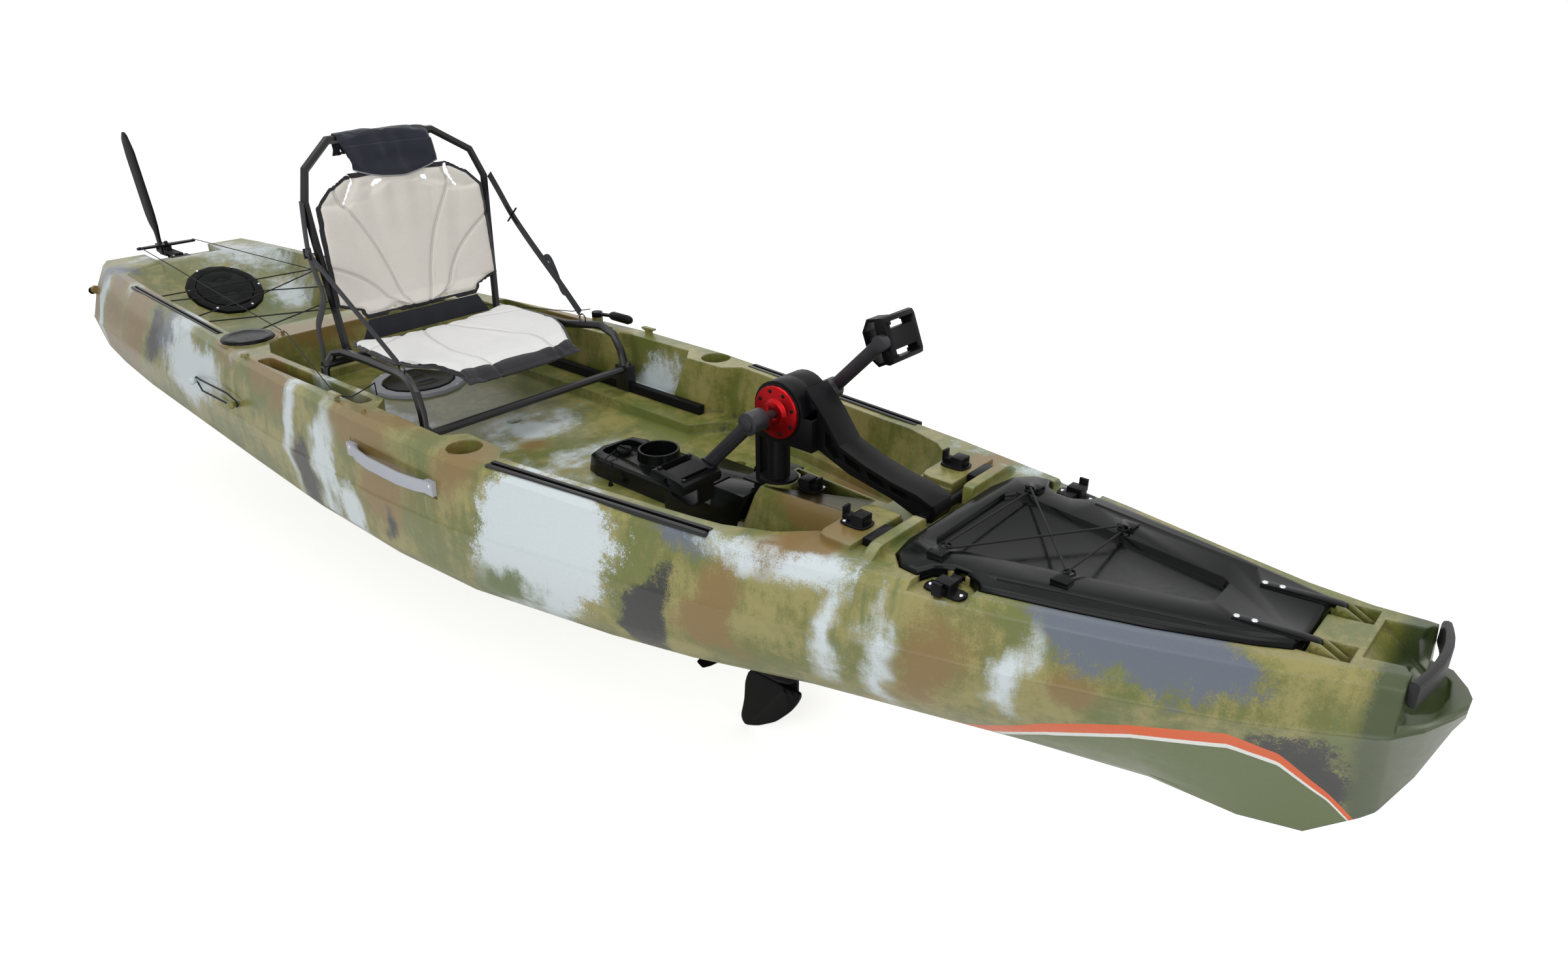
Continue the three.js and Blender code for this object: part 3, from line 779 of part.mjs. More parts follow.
// Pod over the drive opening: low box with a recess and cup well, stepping up to the column
{
  const P = POD, C = COVER, floor = COCKPIT.floor + GAP;
  const plan = (inset) => rounded([[P.aft + inset, -P.half + inset], [P.fore + P.wall, -P.half + inset], [P.fore + P.wall, P.half - inset],
    [P.aft + inset, P.half - inset]], [P.half * 0.6, 0, 0, P.half * 0.6]).getPoints(3);
  const ring = (inset, z) => plan(inset).slice(0, -1).map((p) => [p.x, p.y, z]);
  const box = loft([ring(0, floor), ring(P.wall * 0.7, P.top - P.wall), ring(P.wall * 1.6, P.top)]);
  const side = outline([[P.fore, floor], [C.foreLow, floor], [C.foreHigh, C.high], [C.stepX, C.high], [C.stepX - P.wall * 2, C.low],
    [P.fore, C.low]]);
  const cover = slabSide(side, C.half * 2);
  const step = slabSide(outline([[P.fore - P.wall * 4, floor], [P.fore + OVERRUN, floor], [P.fore + OVERRUN, C.low],
    [P.fore - P.wall, C.low], [P.fore - P.wall * 4, P.top - P.wall]]), P.half * 1.2);
  const cup = upright(P.cupOuter, P.cupTop - P.top + P.wall, P.cupX, P.cupY, P.top - P.wall, 20, P.cupOuter - P.wall / 2);
  const well = upright(P.cupBore, P.cupTop, P.cupX, P.cupY, P.cupFloor, 20, P.cupBore);
  const recess = slabUp(rounded([[P.aft + P.wall * 4, -P.half * 0.55], [P.cupX - P.cupOuter - P.wall, -P.half * 0.55],
    [P.cupX - P.cupOuter - P.wall, P.half * 0.6], [P.aft + P.wall * 4, P.half * 0.6]], P.wall * 3), P.top, P.top - P.wall * 3);
  const opening = span(TRUNK.aft - RUNNING, TRUNK.fore, -TRUNK.half + RUNNING, TRUNK.half - RUNNING, 0, COCKPIT.top);
  const under = slabSide(outline([[P.fore + C.wall, 0], [C.foreLow - C.wall * 2, 0], [C.foreHigh - C.wall * 3, C.high - C.wall],
    [C.stepX + C.wall, C.high - C.wall], [C.stepX - C.wall, C.low - C.wall], [P.fore + C.wall, C.low - C.wall]]), (C.half - C.wall) * 2);
  const hollow = slabUp(rounded([[P.aft + P.wall * 2, -P.half + P.wall * 2], [P.fore, -P.half + P.wall * 2],
    [P.fore, P.half - P.wall * 2], [P.aft + P.wall * 2, P.half - P.wall * 2]], P.wall * 5), P.cupFloor - P.wall);
  const seat = upright(TRUNK.seatRadius + RUNNING, COCKPIT.top, COLUMN.x, 0, C.high - C.wall - RUNNING * 2, 20);
  const plate = span(LEG.plateAft - RUNNING, COLUMN.x, -LEG.plateHalf - RUNNING, LEG.plateHalf + RUNNING, LEG.top - LEG.plate * 2, COCKPIT.top);
  add('pod', cut(join(box, cover, step, cup), well, recess, opening, under, hollow, seat, plate), BLACK);
  const plug = revolve([[0, 0], [20, 0], [20, 4], [15, 5], [15, 11], [20, 12], [18, 19], [0, 19]], 12);
  const rib = block(30, 6, 6, 0, 0, 20);
  const bottom = P.top - P.wall * 3 + GAP;
  const plugX = P.aft + P.wall * 10;
  const tail = sweep([[plugX, -12, bottom + 8], [plugX + 8, -34, P.top + 9], [plugX + 24, -P.half + 4, P.top + 7], [plugX + 38, -P.half - 10, P.top - 6],
    [plugX + 50, -P.half - 13, P.top - 24], [plugX + 58, -P.half - 15, floor + 8]], CORD.thin, { sides: CORD.sides, each: 1 });
  const anchor = upright(6, 9, plugX + 58, -P.half - 15, floor, 8, 4);
  add('pod_plug', join(plug.translate(plugX, 0, bottom), rib.translate(plugX, 0, bottom), tail, anchor), BLACK);
}

// Gears: straight teeth cut as loops of four points each
function toothLoop(teeth, module, phase, scale = 1) {
  const pitch = (Math.PI * 2) / teeth;
  const rows = [[1, -0.31], [-1, -0.13], [-1, 0.13], [1, 0.31]];
  const loop = [];
  for (let i = 0; i < teeth; i += 1) {
    for (const [side, share] of rows) {
      const r = (teeth / 2 + (side > 0 ? -1.15 : 0.75)) * module * scale;
      const turn = phase + (i + share) * pitch;
      loop.push([r * Math.cos(turn), r * Math.sin(turn)]);
    }
  }
  return loop;
}
// Each gear is drawn round +Z with a tooth (or a gap, by half a pitch) at the phase angle
function spurGear(teeth, module, width, phase) {
  return extrude(outline(toothLoop(teeth, module, phase)), width).translate(0, 0, -width / 2);
}
function bevelGear(teeth, mate, module, width, phase) {
  // Pitch face at z = 0 with the apex above it; the back is a plain hub
  const apex = (mate / 2) * module, near = 1 - width / apex * 0.8;
  const outer = toothLoop(teeth, module, phase).map(([x, y]) => [x, y, 0]);
  const inner = toothLoop(teeth, module, phase, near).map(([x, y]) => [x, y, apex * (1 - near)]);
  const hub = upright(teeth * module * 0.36, width * 1.2, 0, 0, RUNNING / 2 - width * 1.2, 8);
  return join(loft([outer, inner]), hub);
}
const turned = (shape, matrix) => geometryOf(shape).applyMatrix4(matrix);
const ALONG_Y = basis([0, 0, 1], [1, 0, 0], [0, 1, 0]);
const LAY = { x: COLUMN.x, z: LAYSHAFT_Z };
{
  const { spur, upper, lower } = GEARS;
  // Angles about +Y are measured from +Z towards +X, as the gear's own first axis lies along +Z
  const toward = Math.atan2(LAY.x - HUB.x, LAY.z - HUB.z);
  const big = turned(spurGear(spur.teeth, spur.module, spur.width, toward), ALONG_Y).translate(HUB.x, spur.y, HUB.z);
  const small = turned(spurGear(spur.mate, spur.module, spur.width, toward + Math.PI + Math.PI / spur.mate), ALONG_Y)
    .translate(LAY.x, spur.y, LAY.z);
  const H = HUB, F = FLANGE;
  const turn = H.turn;
  const crank = (side) => {
    // Arm from the hub boss to the spindle, with the pedal spindle standing out of its end
    const x1 = H.x + side * H.crank * Math.cos(turn), z1 = H.z + side * H.crank * Math.sin(turn);
    const y = side * H.planeY;
    const t = CRANK.thick / 2, w = CRANK.armHalf;
    const arm = bar([H.x, y, H.z], [x1, y, z1], rounded([[-t, -w], [t, -w], [t, w], [-t, w]], t));
    const boss = axle(CRANK.hub, CRANK.hubThick, H.x, y - side * (CRANK.hubThick - CRANK.thick) / 2, H.z, 16);
    const end = axle(CRANK.end, CRANK.endThick, x1, y, z1, 12);
    const spindle = axle(PEDAL.bolt - RUNNING, PEDAL.width, x1, y + side * (CRANK.endThick / 2 + PEDAL.width / 2 - OVERRUN / 6), z1, 10);
    const capped = axle(CRANK.hub * 0.6, CRANK.cap, H.x, y + side * (CRANK.thick / 2 + CRANK.cap / 2 - RUNNING), H.z, 10);
    return { body: join(arm, boss, end, spindle, capped), x: x1, z: z1, y };
  };
  const port = crank(1), starboard = crank(-1);
  const shaftEnd = H.planeY - CRANK.hub / 2;
  const shaft = axle(H.axle, H.planeY + shaftEnd, H.x, (shaftEnd - H.planeY) / 2, H.z, 14);
  add('crank_axle', join(shaft, big, starboard.body), SATIN);
  add('crank_port', cut(port.body, axle(H.axle + GAP, OVERRUN * 2, H.x, H.planeY - CRANK.hubThick / 2 - OVERRUN + OVERRUN / 3, H.z, 14)), SATIN);

  // Layshaft with its spur pinion and crown gear, then the upright shaft and the propeller shaft
  const crownPhase = Math.PI;
  const crown = turned(bevelGear(upper.teeth, upper.mate, upper.module, upper.width, crownPhase),
    basis([0, 0, 1], [-1, 0, 0], [0, -1, 0])).translate(LAY.x, upper.mate / 2 * upper.module, LAY.z);
  const layEnd = HOUSING.half - GAP;
  add('layshaft', join(small, crown, axle(GEARS.shaft, layEnd * 2, LAY.x, 0, LAY.z, 10)), STEEL);
  const pinionZ = LAY.z - upper.teeth / 2 * upper.module - GEARS.backlash;
  const pinionTop = turned(bevelGear(upper.mate, upper.teeth, upper.module, upper.width, Math.PI / 2 + Math.PI / upper.mate),
    new THREE.Matrix4()).translate(LAY.x, 0, pinionZ);
  const wheelLow = turned(bevelGear(lower.teeth, lower.mate, lower.module, lower.width, 0),
    basis([-1, 0, 0], [0, 1, 0], [0, 0, -1])).translate(LAY.x, 0, GEARBOX.z + lower.mate / 2 * lower.module);
  const shaftTop = pinionZ - upper.width, shaftLow = GEARBOX.z + lower.mate / 2 * lower.module + RUNNING;
  add('drive_shaft', join(pinionTop, wheelLow, upright(GEARS.shaft, shaftTop - shaftLow, LAY.x, 0, shaftLow, 10)), STEEL);
  const tailPinion = turned(bevelGear(lower.mate, lower.teeth, lower.module, lower.width, Math.PI / lower.mate),
    basis([0, 0, 1], [0, 1, 0], [-1, 0, 0]).multiply(new THREE.Matrix4().makeScale(1, 1, -1)))
    .translate(LAY.x - lower.teeth / 2 * lower.module - GEARS.backlash, 0, GEARBOX.z);
  // Propeller: two twisted blades on a hub
  const blade = (side) => {
    const rings = [0.1, 0.3, 0.55, 0.8, 0.95, 1].map((t) => {
      const r = t * PROP.radius, chord = PROP.chord * Math.sqrt(Math.max(1 - (1.7 * t - 0.85) ** 2, 0.05));
      const twist = PROP.pitch * (1 - 0.55 * t), half = PROP.thick * (1 - 0.6 * t) / 2;
      return [[-0.5, 0], [-0.2, 1], [0.2, 1], [0.5, 0], [0.2, -1], [-0.2, -1]].map(([u, v]) => {
        const along = u * chord, off = v * half;
        return [PROP.x + along * Math.cos(twist) - off * Math.sin(twist), side * r,
          GEARBOX.z + side * (along * Math.sin(twist) + off * Math.cos(twist))];
      });
    });
    return loft(rings);
  };
  const nose = ball(PROP.hub, 12, 4).translate(PROP.x - PROP.hubLength / 2, 0, GEARBOX.z);
  add('propeller', join(shaftX(PROP.hub, PROP.hubLength, PROP.x, 0, GEARBOX.z, 12), nose, blade(1), blade(-1),
    shaftX(PROP.shaft, LAY.x - lower.teeth / 2 * lower.module - PROP.x, (LAY.x - lower.teeth / 2 * lower.module + PROP.x) / 2 - RUNNING, 0, GEARBOX.z, 10),
    tailPinion), SATIN);

  // Pedals: treaded platform on the spindle with a foot strap looped under it
  for (const [name, at, side, tip] of [['pedal_starboard', starboard, -1, PEDAL.nearTip], ['pedal_port', port, 1, PEDAL.farTip]]) {
    const P = PEDAL, L = P.length / 2, T = P.thick / 2;
    const section = rounded([[-L, -T], [L, -T], [L, T], [-L, T]], T * 0.9);
    const bars = [-0.7, 0.7].flatMap((t) => [T + 1, -T - 1].map((z) =>
      block(P.length * 0.075, P.width * 0.86, 6, t * L, 0, z)));
    const holes = [-0.6, 0.6].map((t) => block(P.length * 0.16, P.width * 0.7, P.thick * 2, t * L, 0, 0));
    const strap = slabSide(outline([[-L + 4, 0], [-L - 2, -P.strapDrop * 0.7], [-L * 0.55, -P.strapDrop], [L * 0.55, -P.strapDrop],
      [L + 2, -P.strapDrop * 0.7], [L - 4, 0], [L - 4 - P.strap * 2, 0], [L - 2 - P.strap, -P.strapDrop * 0.66],
      [L * 0.52, -P.strapDrop + P.strap], [-L * 0.52, -P.strapDrop + P.strap], [-L + 2 + P.strap, -P.strapDrop * 0.66],
      [-L + 4 + P.strap * 2, 0]]), P.strapWide, -side * P.width * 0.12);
    const body = cut(join(slabSide(section, P.width), ...bars, strap), axle(P.bolt, P.width * 2, 0, 0, 0, 12), ...holes);
    const holder = framed(at.x, at.y + side * (CRANK.endThick / 2 + RUNNING + P.width / 2), at.z);
    holder.rotation.y = tip;
    add(name, body, BLACK, holder);
  }

  // Housing halves round the gears, red side flanges that carry the axle
  const B = HOUSING;
  const shell = join(axle(B.radius, B.half * 2, H.x, 0, H.z, 28), span(B.aft, B.fore, -B.half, B.half, B.low, H.z));
  const inside = join(axle(B.radius - B.wall, (B.half - B.face) * 2, H.x, 0, H.z, 14),
    span(B.aft + B.wall, B.fore - B.wall, B.face - B.half, B.half - B.face, B.low + B.wall, H.z));
  const half = cut(shell, inside, axle(F.bore + RUNNING, B.half * 3, H.x, 0, H.z, 14), axle(GEARS.shaft + RUNNING, B.half * 3, LAY.x, 0, LAY.z, 10),
    upright(COLUMN.outer + GAP, COLUMN.top + GAP - B.low + RUNNING, COLUMN.x, 0, B.low - RUNNING, 24),
    span(POST.x - POST.length, POST.x + POST.length, -POST.width, POST.width, 0, POST.top + GAP),
    span(B.aft - OVERRUN, B.fore + OVERRUN, -B.half * 2, GAP / 2, 0, HULL.depth * 2));
  addPair('drive_housing', half, BLACK);
  const flange = revolve([[H.axle + GAP, GAP], [F.outer, GAP], [F.outer - 1, F.thick], [F.boss + 2, F.thick],
    [F.boss - 3, F.bossThick], [H.axle + GAP, F.bossThick], [H.axle + GAP, GAP]], 22);
  addPair('drive_flange', flange.applyMatrix4(ALONG_Y).translate(H.x, B.half, H.z), RED);

  // Column with its foot flange, and the leg with the gearbox below it
  const foot = TRUNK.seat + GAP;
  add('drive_column', cut(join(upright(COLUMN.outer, COLUMN.top - foot, COLUMN.x, 0, foot, 20),
    upright(COLUMN.flange, COLUMN.flangeTop - foot, COLUMN.x, 0, foot, 20)), upright(COLUMN.bore, COLUMN.top, COLUMN.x, 0, foot - RUNNING, 12)), BLACK);
  const chord = new THREE.Shape(new THREE.CatmullRomCurve3([[LEG.fore, 0], [LEG.fore - 9, 0.62], [LEG.fore - 26, 1], [LEG.aft + 28, 0.84],
    [LEG.aft, 0.1], [LEG.aft, -0.1], [LEG.aft + 28, -0.84], [LEG.fore - 26, -1], [LEG.fore - 9, -0.62]].map(([x, y]) =>
    new THREE.Vector3(x, y * LEG.half, 0)), true).getPoints(14).slice(0, -1).map((p) => new THREE.Vector2(p.x, p.y)));
  const leg = slabUp(chord, LEG.top - LEG.plate - GEARBOX.z, GEARBOX.z);
  const plate = span(LEG.plateAft, LEG.plateFore, -LEG.plateHalf, LEG.plateHalf, LEG.top - LEG.plate, LEG.top);
  const post = span(POST.x - POST.length / 2, POST.x + POST.length / 2, -POST.width / 2, POST.width / 2, LEG.top - LEG.plate / 2, POST.top);
  const G = GEARBOX;
  const tube = revolve([[0, G.aft], [G.tail, G.aft], [G.radius, G.aft + 60], [G.radius, G.nose - 45], [G.radius * 0.75, G.nose - 14],
    [G.radius * 0.3, G.nose], [0, G.nose]], 14).applyMatrix4(ENDWAYS).translate(0, 0, G.z);
  const lug = span(G.lugAft, G.lugFore - OVERRUN / 2, FIN.half + GAP, FIN.half + GAP + G.lug, G.lugLow, G.z - G.radius / 2);
  const cavity = revolve([[0, COLUMN.x - 26], [G.radius - G.wall, COLUMN.x - 26], [G.radius - G.wall, COLUMN.x + 22], [0, COLUMN.x + 22]], 12)
    .applyMatrix4(ENDWAYS).translate(0, 0, G.z);
  add('drive_leg', cut(join(leg, plate, post, tube, lug), cavity, upright(GEARS.shaft + RUNNING * 3, HULL.depth * 2, COLUMN.x, 0, G.z, 10),
    shaftX(PROP.shaft + RUNNING, COLUMN.x - G.aft + RUNNING * 2, (COLUMN.x + G.aft) / 2 - RUNNING * 4, 0, G.z, 10),
    upright(COLUMN.flange, OVERRUN, COLUMN.x, 0, LEG.top, 24),
    ...FIN.bolts.map(([x, z]) => axle(FIN.bolt + GAP, OVERRUN * 2, x, 0, z, 8))), SATIN);
  const finBody = join(slabSide(rounded(finOutline, 14), FIN.half * 2, 0), ...FIN.bolts.map(([x, z]) => join(axle(FIN.bolt, FIN.half * 2 + G.lug * 2 + RUNNING * 2, x, FIN.half, z, 8),
    axle(FIN.nut, FIN.half, x, -FIN.half * 1.4, z, 6))));
  add('drive_fin', finBody, RUBBER);

  // Arm from the housing to the cross bar, with windows through its web
  const A = ARM;
  const onArm = ([along, rise]) => [mix(A.foot, A.endX, along), mix(A.endZ, H.z, rise)];
  const web = outline(armWebShares.map(onArm));
  const windows = armWindowShares.map((shares) => slabSide(outline(shares.map(onArm)), A.half * 4));
  const strapTop = armWebShares.slice(1, A.strapPoints + 1).map(onArm);
  const strapUnder = strapTop.slice().reverse().map(([x, z]) => [x - A.strap / 4, z - A.strap]);
  const strap = slabSide(outline([...strapTop, ...strapUnder]), A.strapHalf * 2);
  const block2 = span(A.endX - CROSSBAR.blockLength / 2, A.endX + CROSSBAR.blockLength / 2, CROSSBAR.half - CROSSBAR.block, CROSSBAR.half, CROSSBAR.low, CROSSBAR.high);
  add('drive_arm', cut(join(cut(slabSide(web, A.half * 2), ...windows), strap, axle(CROSSBAR.radius, CROSSBAR.half * 2 - RUNNING, A.endX, 0, CROSSBAR.low + CROSSBAR.radius + RUNNING, 16),
    ...both(block2)), axle(B.radius + GAP, A.half * 4, H.x, 0, H.z, 32), span(B.aft, B.fore + GAP, -A.half * 2, A.half * 2, B.low - RUNNING, H.z)), BLACK);
}

// Rudder: deck bracket, yoke on an upright pin and a blade that flips up for the beach
{
  const R = RUDDER, deck = R.deck + GAP;
  const K = R.bracket, aft = R.yawX + K.aft, fore = R.yawX + K.fore;
  const base = slabUp(rounded([[aft, -K.half], [fore, -K.half], [fore, K.half], [aft, K.half]], K.corner), K.thick, deck);
  const neck = span(R.yawX, R.yawX + K.neckFore, -K.neckHalf, K.neckHalf, R.z - K.neckLow, R.z + K.neckHigh);
  const barrel = upright(R.barrel, K.barrelTall, R.yawX, 0, R.z - K.barrelLow, 14);
  const pin = upright(R.pin, K.pinTall, R.yawX, 0, R.z - K.pinLow, 8);
  add('rudder_bracket', join(base, neck, barrel, pin), BLACK);
  // Yoke: plates above and below the barrel, cross arms with line eyes, cheeks round the blade
  const above = R.z + 12.5, below = R.z - 14.5;
  const plateShape = rounded([[R.yawX + 14, -14], [R.yawX + 14, 14], [R.flipX + 18, 15], [R.flipX + 18, -15]], 5);
  const arms = slabUp(rounded([[R.yawX - 12, -R.reach - 8], [R.yawX + 8, -R.reach - 8], [R.yawX + 14, 0], [R.yawX + 8, R.reach + 8],
    [R.yawX - 12, R.reach + 8], [R.yawX - 16, 0]], 6), 7, above + 2);
  const back = span(R.flipX + 12, R.yawX - R.barrel - 2, -15, 15, below - 7, above + 9);
  const cheek = rounded([[R.flipX - 17, R.z - 15], [R.flipX + 24, below - 7], [R.flipX + 24, above + 9], [R.flipX - 17, R.z + 15]], 7);
  const gap = R.blade / 2 + 1;
  const yoke = cut(join(slabUp(plateShape, 7, above + 2), slabUp(plateShape, 7, below - 7), arms, back,
    slabSide(cheek, 9, gap + 4.5), slabSide(cheek, 9, -gap - 4.5), axle(5, 30, R.flipX, 0, R.z, 8),
    axle(8, 4, R.flipX, -15.5, R.z, 8), axle(8, 4, R.flipX, 15.5, R.z, 8)),
  upright(R.pin + 1, 90, R.yawX, 0, R.z - 45, 10), ...[1, -1].map((side) => upright(3.4, 30, R.yawX - 2, side * R.reach, above - 4, 6)));
  add('rudder_yoke', cut(yoke, cut(span(R.flipX - 60, R.flipX + 26, -gap, gap, R.z - 80, R.z + 80), axle(5, 60, R.flipX, 0, R.z, 8))), BLACK);
  const lean = Math.atan2(R.flipX - R.tipX, R.tipZ - R.z), length = Math.hypot(R.flipX - R.tipX, R.tipZ - R.z);
  const profile = [[-18, 0], [-16, 60], [-38, 92], [-46, 130], [-48, 0.8 * length], [-40, 0.94 * length], [-12, length], [10, 0.96 * length],
    [30, 0.82 * length], [33, 130], [26, 75], [11, 30], [11, 0]].map(([u, v]) => [R.flipX + u * Math.cos(lean) - v * Math.sin(lean), R.z + u * Math.sin(lean) + v * Math.cos(lean)]);
  add('rudder_blade', cut(join(slabSide(rounded(profile, 9), R.blade), axle(R.boss - 2, R.blade, R.flipX, 0, R.z, 16)),
    axle(6, 30, R.flipX, 0, R.z, 8)), BLACK);
}

// Steering lever on the port gunwale, pivoting on the stud moulded in the hull
{
  const L = LEVER, z = deckZ(L.x) + L.baseHeight - RUNNING + GAP;
  const hub = upright(L.base, 14, L.x, L.y, z, 12);
  const arm = bar([L.x, L.y, z + 4], [L.x + 72, L.y + 1, L.z - 3], rect(14, 7));
  const grip = welded(new THREE.CapsuleGeometry(L.grip, L.gripLength - L.grip * 2, 2, 10)).rotateZ(Math.PI / 2).translate(L.x + L.swing - L.gripLength / 2 + 30, L.y + 2, L.z);
  add('steering_lever', cut(join(hub, arm, grip), upright(2.6, 20, L.x - 10, L.y, z - 3, 10)), BLACK);
}

// Steering lines from the yoke along the side decks, the starboard one ending at its cleat
{
  const R = RUDDER, guide = deckZ(GUIDE.x) + GUIDE.height * 0.45;
  const start = (side) => [[R.yawX - 2, side * R.reach, R.z + 23.6], [R.yawX + 8, side * R.reach, R.z + 25], [R.yawX + 60, side * (R.reach + 5), R.z + 25]];
  const bend = (side) => [[GUIDE.x - 30, side * (GUIDE.y - PADDLE.pin * 1.5 - 2), guide], [GUIDE.x + 6, side * (GUIDE.y - PADDLE.pin - 3), guide],
    [GUIDE.x + 40, side * (GUIDE.y + 2), guide]];
  const cleat = deckZ(CLEATS[0][0]) + 8;
  add('steering_line_starboard', sweep([...start(-1), ...bend(-1), [-230, -400, cleat + 3], [-204, -401, cleat - 2], [-180, -401, cleat - 1], [-150, -392, cleat + 2],
    [-120, -360, cleat + 26], [-150, -330, cleat + 20], [-176, -316, cleat - 20], [-190, -316, cleat - 60]], CORD.thin, { sides: CORD.sides, each: 1 }), RUBBER);
  add('steering_line_port', sweep([...start(1), ...bend(1), [-300, 394, cleat + 8], [LEVER.x - 28, LEVER.y - 2, deckZ(LEVER.x) + LEVER.baseHeight + 16]],
    CORD.thin, { sides: CORD.sides, each: 1 }), RUBBER);
}

// Bungee laced across the tank well through its six eyes
{
  const [a, b, c] = eyeSpots, at = (x, side) => [x, side * eyeY(x), EYE.z];
  const through = (x, side, from, to, dz) => {
    const p = at(x, side);
    return [[x + from * 22, side * (eyeY(x) - 6), EYE.z + dz], [x, side * eyeY(x), EYE.z], [x + to * 22, side * (eyeY(x) - 6), EYE.z - dz]];
  };
  const over = (x0, x1, dz) => [[(x0 + x1) / 2, 0, EYE.z + dz]];
  const route = [...through(a, -1, -1, 1, 4), ...over(a, b, 4), ...through(b, 1, -1, 1, -4), ...over(b, c, 4), ...through(c, -1, -1, 0.4, 4),
    ...through(c, 1, 0.4, -1, -4), ...over(b, c, -4), ...through(b, -1, 1, -1, -4), ...over(a, b, -4), ...through(a, 1, 1, -1, 4)];
  add('tank_cord', sweep(route, CORD.bungee, { sides: CORD.sides, each: 1, closed: true }), RUBBER);
}

// Paddle loop: a cord oval hooked over the two balls on each side
{
  const P = PADDLE, [aft, fore] = P.spots;
  const r = P.pin + P.cord + RUNNING, y = (x) => sideY(x, P.z) + P.cord * 2.2;
  const route = [];
  for (const [x, from] of [[fore, -Math.PI / 2], [aft, Math.PI / 2]]) {
    for (let i = 0; i <= 4; i += 1) {
      const turn = from + i * Math.PI / 4;
      route.push([x + r * Math.cos(turn), y(x), P.z + r * Math.sin(turn)]);
    }
    const sag = x === fore ? 1 : -1, mid = (aft + fore) / 2;
    for (const t of [0.3, -0.3]) route.push([mid + sag * t * (fore - aft), y(mid) + P.cord * 2, P.z + sag * 17]);
  }
  addPair('paddle_loop', sweep(route, P.cord, { sides: CORD.sides, each: 1, closed: true }), RUBBER);
}

// Seat frame of bent tube on four feet that clamp the rails
{
  const S = SEAT, y = S.barY, tubeOpts = { sides: 6, each: 1 };
  const sideTube = sweep([[S.rearX, S.railY - 3, S.footZ - 8], [S.rearX - 6, S.railY - 12, 380], [S.rearX - 12, y + 8, 412], [S.rearX + 30, y, 424],
    [-300, y, 428], [-160, y + 4, 430], [-104, y + 16, 436], [-52, y + 32, 440], [-12, y + 42, 420], [8, S.railY - 4, 380], [S.frontX, S.railY, S.footZ - 4]], S.tube, tubeOpts);
  const cross = (x, z, half) => axle(S.tube, half * 2, x, 0, z, 8);
  const foot = (x) => cut(join(span(x - S.footLength / 2, x + S.footLength / 2, S.railY - S.footWidth / 2, S.railY + S.footWidth / 2,
    COCKPIT.ledge + RUNNING * 3, S.footZ), upright(9, 10, x + S.footLength * 0.25, S.railY, S.footZ - RUNNING, 6)),
  span(x - S.footLength, x + S.footLength, S.railY - S.railWidth / 2 - GAP, S.railY + S.railWidth / 2 + GAP, COCKPIT.floor, COCKPIT.ledge + S.railHeight + GAP));
  const ring = (side) => sweep(Array.from({ length: 8 }, (_, i) => [-107 + S.ring * Math.sin(i * Math.PI / 4), side * (y + 16) + 0, 452 + S.ring * Math.cos(i * Math.PI / 4)]),
    2.5, { sides: 4, each: 1, closed: true });
  const pivot = (side) => slabSide(rounded([[S.rearX - 16, 405], [S.rearX + 16, 405], [S.rearX + 12, S.pivotZ + 14], [S.rearX - 12, S.pivotZ + 14]], 5), 5, side * (y - 20));
  const lug = (side) => axle(6, 22, S.rearX, side * (y - 12), S.pivotZ, 8);
  add('seat_frame', join(...both(sideTube), cross(S.frontX, S.footZ - 12, S.railY - 6), cross(S.rearX - 8, 390, S.railY - 8), ...both(foot(S.frontX)), ...both(foot(S.rearX)),
    ring(1), ring(-1), ...both(lug(1))), BLACK);
  const back = sweep([[S.rearX, -(y - 26), S.pivotZ], [S.rearX - 4, -(y - 22), 480], [S.shoulderX, -(y - 6), 700], [S.shoulderX - 4, -y, S.shoulderZ],
    [S.shoulderX - 22, -(y - 24), 872], [S.backTopX + 18, -150, 930], [S.backTopX, 0, S.backTop - 14], [S.backTopX + 18, 150, 930],
    [S.shoulderX - 22, y - 24, 872], [S.shoulderX - 4, y, S.shoulderZ], [S.shoulderX, y - 6, 700], [S.rearX - 4, y - 22, 480], [S.rearX, y - 26, S.pivotZ]], S.tube, { sides: 6, each: 1 });
  const eyeHub = (side) => axle(14, 12, S.rearX, side * (y - 26), S.pivotZ, 10);
  add('backrest_frame', cut(join(back, eyeHub(1), eyeHub(-1)), axle(6.5, 70, S.rearX, y - 12, S.pivotZ, 8), axle(6.5, 70, S.rearX, -(y - 12), S.pivotZ, 8)), BLACK);
}

